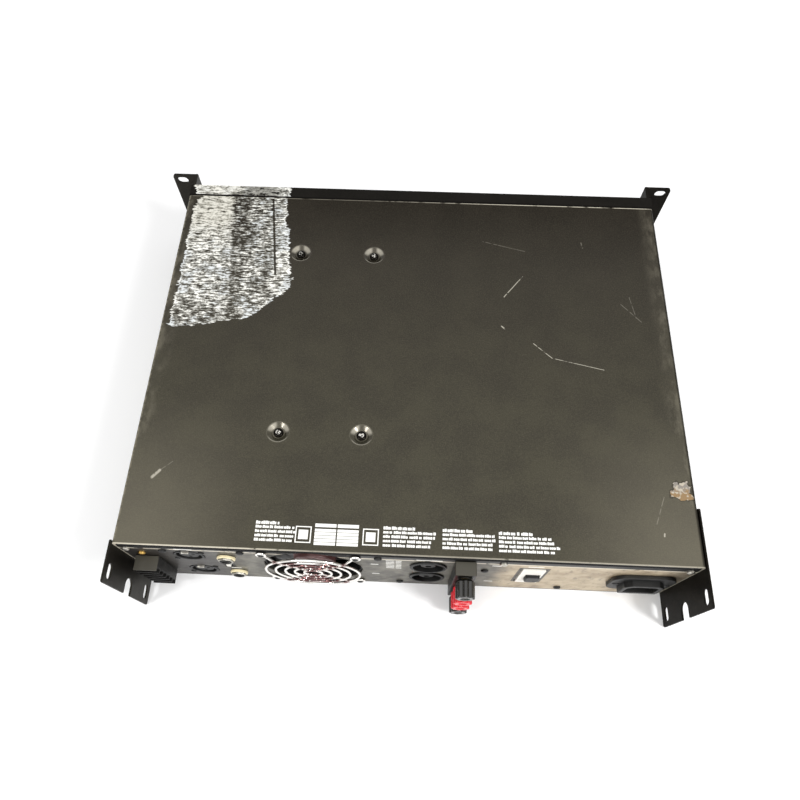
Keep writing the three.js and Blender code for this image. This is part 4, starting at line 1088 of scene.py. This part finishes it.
def barrier_strip():
    fit_copies(("barrier_strip", "barrier_strip_block", "grey_plastic", 0.3))
    first, last, _ = measure("barrier_strip")
    fin, poles, floor_y, wall = 1.2 * MM, 6, PANEL_Y + 5.3 * MM, 4 * MM
    pitch = (last.z - first.z - fin) / poles
    x, half_width, half_height = first.x + wall + (last.x - first.x - wall) / 2, 3.6 * MM, 2.85 * MM
    for i in range(poles):
        z = first.z + fin / 2 + (i + 0.5) * pitch
        screw(f"strip_screw_{i + 1}", (x, floor_y, z), "zinc", 2.7, 1.8, random.uniform(0, 1.5))
        clamp = box("clamp", (x - half_width, floor_y, z - half_height),
                    (x + half_width, floor_y + 0.6 * MM, z + half_height))
        fit(clamp, f"strip_clamp_{i + 1}", "zinc", edge=0.15 * MM)


# ---- output connectors
def speaker_socket(i):
    node = f"speaker_socket_{i}"
    first, last, middle = measure(node)
    body, flange, ring, core = 12.6 * MM, (last.x - first.x) / 2, 12 * MM, 6.3 * MM
    seat, groove = last.y - 1.4 * MM, last.y - 20 * MM
    profile = rounded([
        (0, first.y, 0), (body, first.y, 0.5 * MM), (body, seat, 0), (flange, seat, 0.1 * MM),
        (flange, last.y, 0.7 * MM), (ring + MM, last.y - 0.4 * MM, 0.3 * MM), (ring, last.y, 0.2 * MM),
        (ring, groove, 0.3 * MM), (core, groove, 0.3 * MM), (core, last.y - 2.2 * MM, 1.2 * MM),
        (0, last.y - 1.5 * MM, 0),
    ], 4)
    socket = lathe("socket", profile, middle, steps=72)
    half, reach = 1.5 * MM, core + 1.4 * MM
    lugs = box("lugs", (middle.x - half, groove - MM, middle.z - reach),
               (middle.x + half, last.y - 4 * MM, middle.z + reach))
    carve(socket, [lugs], "UNION")
    carve(socket, [bar(middle.x, middle.z, 2.4 * MM, (last.y - 6 * MM, last.y + MM), 32)])
    fit(socket, f"{node}_body", "black_plastic", node, smooth=30)


def post_lobes(radius, angle):
    """Presses eight grooves into a cap's side, and leaves its bore round."""
    grooved = min(1, max(0, (radius - 4.6 * MM) / (1.4 * MM)))
    return radius - 1.3 * MM * grooved * (1 - abs(math.cos(4 * angle)))


def binding_post(i):
    """A stud through the panel, a washer, and a cap necked in where it meets the washer."""
    stud, cap, washer = f"post_stud_{i}", f"post_cap_{i}", f"post_washer_{i}"
    first, last, spot = measure(stud)
    nut, out, bore, wide, bottom = PANEL_Y - 1.8 * MM, 3 * MM, 2 * MM, 5 * MM, last.y - 18 * MM
    profile = rounded([
        (0, first.y, 0), (out, first.y, 0.3 * MM), (out, nut - 4 * MM, 0), (wide, nut - 4 * MM, 0.3 * MM),
        (wide, nut, 0.3 * MM), (out, nut, 0), (out, last.y, 0.3 * MM), (bore, last.y, 0.3 * MM),
        (bore, bottom, 0), (0, bottom, 0),
    ], 3)
    fit(lathe("stud", profile, spot, steps=40), f"{stud}_tube", "brass", stud)
    first, last, _ = measure(washer)
    bore, out = 3.3 * MM, 5.8 * MM
    profile = rounded([(bore, first.y, 0), (out, first.y, 0.2 * MM), (out, last.y, 0.2 * MM),
                       (bore, last.y, 0)], 3)
    fit(lathe("washer", profile, spot, steps=40), f"{washer}_ring", "zinc", washer, material="dark_washer")
    first, last, _ = measure(cap)
    radius = 7.4 * MM
    profile = rounded([
        (bore, first.y, 0), (radius - 1.3 * MM, first.y, 0.4 * MM), (radius, first.y + 1.6 * MM, 0.5 * MM),
        (radius, last.y, 0.9 * MM), (bore + 0.7 * MM, last.y, 0), (bore, last.y - 0.7 * MM, 0),
    ], 4)
    slot, material = ("black_plastic", "cap_black") if i in (1, 4) else ("red_plastic", None)
    fit(lathe("cap", profile, spot, steps=96, ripple=post_lobes), f"{cap}_grip", slot, cap, smooth=50,
        material=material)


def post_housing():
    first, last, _ = measure("post_housing")
    studs = [centre(f"post_stud_{i}") for i in range(1, 5)]
    outlines = [around_node("post_housing", 1.2 * MM), *(disc(p.x, p.z, 3.3 * MM, 32) for p in studs)]
    fit(plate("housing", outlines, (first.y, last.y), "Y", 0.4 * MM),
        "post_housing_block", "grey_plastic", "post_housing")


# ---- mains
def mains_inlet():
    """A moulding with a flange, a collar and a deep well for three flat pins."""
    first, last, middle = measure("mains_inlet")
    x, z, seat, mouth = middle.x, middle.z, PANEL_Y + 0.3 * MM, last.y

    def chamfered(width, height, chamfer, radius=0.0):
        """A rectangle about the middle, whose two upper corners are cut off. It's in millimetres."""
        w, h, cut = width / 2 * MM, height / 2 * MM, chamfer * MM
        corners = [(x - w, z - h), (x + w, z - h), (x + w, z + h - cut), (x + w - cut, z + h),
                   (x - w + cut, z + h), (x - w, z + h - cut)]
        return rounded([(*corner, radius * MM) for corner in corners], 3)

    cavity = chamfered(24.6, 16.8, 4, 0.8)
    screw_holes = [disc(x + side * 20 * MM, z, 1.7 * MM, 24) for side in (-1, 1)]
    moulding = plate("flange", [oblong(x, z, last.x - first.x, 36 * MM, 11 * MM), cavity, *screw_holes],
                     (seat, seat + 3 * MM), "Y", 0.5 * MM)
    for outlines, start, end, edge in (
        ([chamfered(31, 24, 5, 1.2), cavity], seat + 0.1 * MM, mouth, 0.6),
        ([chamfered(27.2, 20.2, 4, 1), cavity], first.y, seat + MM, 0.1),
        ([chamfered(26, 19, 4)], first.y + 0.1 * MM, mouth - 16 * MM, 0.1),
    ):
        carve(moulding, [plate("layer", outlines, (start, end), "Y", edge * MM)], "UNION")
    fit(moulding, "mains_inlet_moulding", "black_plastic", "mains_inlet")
    pins = [box("pin", (x + (u - 1) * MM, mouth - 17 * MM, z + (v - 2) * MM),
                (x + (u + 1) * MM, mouth - 3 * MM, z + (v + 2) * MM))
            for u, v in ((-7, -2), (7, -2), (0, 2))]
    fit(merged("pins", pins), "mains_inlet_pins", "zinc", edge=0.4 * MM)
    for i, side in enumerate((-1, 1)):
        screw(f"inlet_screw_{i + 1}", (x + side * 20 * MM, seat + 2.4 * MM, z), "black_plastic",
              2.8, 1.6, 0.6 * i)


def flat_piece(node, word, slot, corner, edge):
    """A plate that fills a node, with round corners. Both sizes are in millimetres."""
    first, last, _ = measure(node)
    piece = plate(word, [around_node(node, corner * MM)], (first.y, last.y), "Y", edge * MM)
    fit(piece, f"{node}_{word}", slot, node)


# ---- front controls
def gain_control(i):
    """A potentiometer, its knob with a pointer, and the ticks round it."""
    pot, knob = f"gain_pot_{i}", f"gain_knob_{i}"
    first, last, _ = measure(pot)
    knob_first, knob_last, middle = measure(knob)
    shaft, thread, case, back = 3 * MM, 3.5 * MM, 8 * MM, FRONT_LOW.y + 2.3 * MM
    profile = rounded([
        (0, first.y, 0), (shaft, first.y, 0.3 * MM), (shaft, back - 4.9 * MM, 0),
        (thread, back - 4.9 * MM, 0), (thread, back, 0), (case, back, 0.5 * MM),
        (case, last.y, 0.8 * MM), (0, last.y, 0),
    ], 3)
    fit(lathe("pot", profile, middle, steps=40), f"{pot}_case", "zinc", pot)
    first, last, radius, bore, hollow = knob_first, knob_last, 9 * MM, 3.3 * MM, 3.9 * MM
    profile = rounded([
        (0, first.y, 0), (radius - 2 * MM, first.y, 0.8 * MM),
        (radius - 1.2 * MM, last.y - 3 * MM, 0.4 * MM), (radius, last.y - 2 * MM, 0.3 * MM),
        (radius, last.y, 0.3 * MM), (hollow, last.y, 0), (hollow, last.y - 2.6 * MM, 0),
        (bore, last.y - 2.6 * MM, 0), (bore, first.y + 2.9 * MM, 0), (0, first.y + 2.9 * MM, 0),
    ], 4)
    fit(lathe("knob", profile, middle, steps=96, ripple=knurl), f"{knob}_grip", "black_plastic", knob,
        smooth=30)
    pointer = box("pointer", (middle.x - 0.6 * MM, first.y - 0.15 * MM, middle.z + 1.5 * MM),
                  (middle.x + 0.6 * MM, first.y + 0.3 * MM, middle.z + 6.2 * MM))
    fit(pointer, f"{knob}_pointer", "white_plastic", body=BODY_OF[knob], edge=0.1 * MM)
    face, ticks = FRONT_LOW.y, []
    for k in range(11):
        a = math.radians(90 + 150 - 30 * k)
        ticks.append(bar(middle.x + 12 * MM * math.cos(a), middle.z + 12 * MM * math.sin(a), 0.55 * MM,
                         (face - 0.06 * MM, face + 0.3 * MM), 16))
    fit(merged("ticks", ticks), f"gain_ticks_{i}", "white_plastic")


def knurl(radius, angle):
    """Fine grooves round a knob's grip."""
    grooved = 7 * MM < radius < 8.2 * MM and math.cos(24 * angle) < 0
    return radius - 0.25 * MM * grooved


def level_lamps():
    front, middle = measure("display_window")[0].y, centre("display_window")
    dome = rounded([(0, front + MM, 0), (1.5 * MM, front + MM, 0), (1.5 * MM, front, 0.2 * MM),
                    (0, front - 0.5 * MM, 0)], 3)
    for column, u in ((1, -8), (2, 8)):
        for row, code in enumerate((0x7A1E1A, 0x8A6A1C, 0x2C6A34, 0x2C6A34, 0x2C6A34)):
            spot = Vector((middle.x + u * MM, 0, middle.z + (14 - 7 * row) * MM))
            lamp = lathe("lamp", dome, spot, steps=24)
            fit(lamp, f"level_lamp_{column}_{row + 1}", "lens", material=code)


# ---- inside
def inside():
    first, last, middle = measure("toroid_transformer")
    out, hole, curve = (last.x - first.x) / 2, 17 * MM, 10 * MM
    profile = rounded([(out, first.z, curve), (out, last.z, curve), (hole, last.z, curve),
                       (hole, first.z, curve)], 8)
    fit(lathe("toroid", profile, middle, "Z", 96), "toroid_winding", "winding", "toroid_transformer")
    radius, rim = 18 * MM, 15 * MM
    for i in (1, 2):
        node = f"filter_capacitor_{i}"
        first, last, middle = measure(node)
        sunk = last.z - 0.8 * MM
        profile = rounded([(0, first.z, 0), (radius, first.z, MM), (radius, last.z, 1.5 * MM),
                           (rim, last.z, 0.3 * MM), (rim - 0.5 * MM, sunk, 0.2 * MM), (0, sunk, 0)], 4)
        fit(lathe("can", profile, middle, "Z", 56), f"{node}_can", "capacitor_sleeve", node)


# ---- small trim
def panel_screws():
    """Screws that hold the panel and what is fitted behind it, as (x, z, finish)."""
    places = [(126, 78, "black_plastic"), (21, 78, "black_plastic"), (-74, 78, "zinc"),
              (-62.5, 56, "black_plastic"), (205, 67.5, "brass"), (213.5, 77.5, "zinc"),
              (-213.5, 77.5, "zinc"), (186, 76, "black_plastic"), (-130, 10, "black_plastic"),
              (-213.5, 10, "zinc"), (213.5, 7.5, "zinc"), (4, 8, "black_plastic")]
    for i, (x, z, slot) in enumerate(places):
        screw(f"panel_screw_{i + 1}", (x * MM, PANEL_Y, z * MM), slot, 3, 1.9, random.uniform(0, 1.5))


FILM = 0.04 * MM  # how far printing stands off its sheet


def print_rows():
    """Blank notices printed on the cover's rear edge: rows of broken pale bars, and blank panels."""
    marks = []

    def mark(x0, x1, y0, y1):
        marks.append(box("mark", (x0 * MM, y0 * MM, TOP_Z - FILM), (x1 * MM, y1 * MM, TOP_Z + FILM)))

    def row_of_bars(start, stop, y, height):
        x = start
        while x - 1 > stop:
            word = min(random.uniform(2.4, 7), x - stop)
            left = x - word
            while x - 0.5 > left:
                bar_width = min(random.uniform(0.8, 2), x - left)
                rise = random.choice((0, 0, 0.25, 0.45))
                mark(x - bar_width, x, y + 0.45 - rise, y + height)
                x -= bar_width + 0.2
            x = left - 0.65

    for start, end, first_y in ((114, 86, 150), (17.5, -22, 150.5), (-27, -66, 150.5), (-69, -112, 151)):
        row_of_bars(start, (start + end) / 2 - 4, first_y, 2.5)
        for row in range(1, 5):
            row_of_bars(start, end + random.uniform(-3, 4), first_y + 3.4 * row, 2.2)
    for middle in (77.5, 26.8):
        half, y0, y1, line = 6, 153, 166, 0.8
        left, right = middle - half, middle + half
        mark(left, right, y0, y0 + line)
        mark(left, right, y1 - line, y1)
        mark(left, left + line, y0 + line, y1 - line)
        mark(right - line, right, y0 + line, y1 - line)
        mark(middle - 3.6, middle + 3.6, y0 + 2.8, y1 - 2.8)
    for x0, x1 in ((36, 52), (53, 69)):
        mark(x0, x1, 150.5, 153.2)
        for row in range(5):
            mark(x0, x1, 154.6 + 2.6 * row, 154.6 + 2.6 * row + 2.25)
    fit(merged("print", marks), "cover_print", "white_plastic", material="pale_ink")


def panel_print():
    """A small blank table and a few blank labels printed on the connector panel."""
    table = [(x0, x1, 72 - 4.2 * row, 1.3) for row in range(6) for x0, x1 in ((3, 7.5), (8.5, 15))]
    labels = [(x - width / 2, x + width / 2, z, 1.4) for x, z, width in (
        (-18, 77.5, 20), (140, 53.5, 8), (140, 29, 8), (169, 79.5, 14), (-99.8, 71, 12),
        (24, 60, 6), (24, 30, 6), (-70, 70, 7), (-70, 20, 7))]
    marks = [box("mark", (x0 * MM, PANEL_Y - FILM, z * MM), (x1 * MM, PANEL_Y + FILM, (z + height) * MM))
             for x0, x1, z, height in table + labels]
    fit(merged("print", marks), "panel_print", "white_plastic", material="pale_ink")


# ---- camera, light and floor
def camera():
    """Above and behind the connector panel, looking down at the cover."""
    aim, distance = Vector((14.1 * MM, 79.7 * MM, 0)), 569 * MM
    azimuth, elevation, roll = map(math.radians, (183.22, 67.98, -0.725))
    back = Vector((math.sin(azimuth) * math.cos(elevation),
                   -math.cos(azimuth) * math.cos(elevation), math.sin(elevation)))
    level = Vector((0, 0, 1)).cross(back).normalized()
    right = level * math.cos(roll) + back.cross(level) * math.sin(roll)
    data = bpy.data.cameras.new("camera")
    data.lens = 27.53
    data.sensor_width = 36
    data.shift_x = 0.0089
    data.shift_y = 0.104
    data.clip_start = 0.01
    view = new_object("camera", data)
    rotation = Matrix((right, back.cross(right), back)).transposed().to_4x4()
    view.matrix_world = Matrix.Translation(aim + back * distance) @ rotation
    bpy.context.scene.camera = view


def area_light(name, spot, aim, size, power):
    data = bpy.data.lights.new(name, "AREA")
    data.shape = "DISK"
    data.size = size
    data.energy = power
    light = new_object(name, data)
    light.location = spot
    light.rotation_euler = (Vector(aim) - Vector(spot)).to_track_quat("-Z", "Y").to_euler()


def studio():
    world = bpy.data.worlds.new("studio")
    bpy.context.scene.world = world
    world.use_nodes = True
    nodes, links = world.node_tree.nodes, world.node_tree.links
    place = nodes.new("ShaderNodeTexCoord")
    split = nodes.new("ShaderNodeSeparateXYZ")
    links.new(place.outputs["Generated"], split.inputs[0])
    rise = nodes.new("ShaderNodeMapRange")
    rise.interpolation_type = "SMOOTHSTEP"
    for socket, value in (("From Min", 0.6), ("From Max", 0.98), ("To Min", 0.45), ("To Max", 1.3)):
        rise.inputs[socket].default_value = value
    links.new(split.outputs[2], rise.inputs["Value"])
    links.new(rise.outputs[0], nodes["Background"].inputs["Strength"])
    nodes["Background"].inputs["Color"].default_value = (1, 1, 1, 1)
    area_light("key", (-1.3, 0.9, 1.5), (0, 0, 0.05), 0.5, 26)
    area_light("side", (1.3, 0.9, 1.5), (0, 0, 0.05), 0.35, 11)
    area_light("fill", (0.4, 1.6, 0.9), (0, 0.1, 0.05), 1.2, 6)

    s = Surface("pale_floor")
    s.set(Base_Color=s.mix(s.noise(300, 2), 0xF8F8F8, 0xFCFCFC), Roughness=s.scaled(s.noise(40, 2), 0.8, 0.9))
    floor = box("floor", (-6, -6, -0.02), (6, 6, 0))
    floor.data.materials.append(s.material)
    bpy.context.scene.view_settings.view_transform = "Standard"


# ---- the scene
camera()
studio()
top_cover()
cover_screws()
rear_panel()
ears()
fan_frame()
fan_rotor()
fan_guard()
for number in (1, 2):
    xlr_input(number)
    trs_jack(number)
    speaker_socket(number)
    gain_control(number)
barrier_strip()
post_housing()
for number in range(1, 5):
    binding_post(number)
mains_inlet()
level_lamps()
inside()
flat_piece("breaker_button", "cap", "black_plastic", 3, 0.7)
flat_piece("display_window", "lens", "lens", 2, 0.5)
fit_copies(
    ("chassis_pan", "chassis_pan_sheet", "black_steel", 0.25),
    ("front_panel", "front_panel_tray", "front_paint", 0.5),
    ("mode_switch_body", "mode_switch_housing", "black_plastic", 0.2),
    ("mode_switch_lever", "mode_switch_slider", "white_plastic", 0.4),
    ("breaker_body", "breaker_housing", "white_plastic", 0.4),
    ("rocker_bezel", "rocker_bezel_frame", "black_plastic", 0.3),
    ("power_rocker", "power_rocker_paddle", "black_plastic", 0.8),
    ("heat_sink_left", "heat_sink_left_comb", "aluminium", 0.2),
    ("heat_sink_right", "heat_sink_right_comb", "aluminium", 0.2),
    ("transformer_clamp", "transformer_clamp_bolt", "zinc", 0.3),
    ("amplifier_board", "amplifier_board_laminate", "circuit_board", 0.15),
    ("input_board", "input_board_laminate", "circuit_board", 0.15),
)
panel_screws()
print_rows()
panel_print()
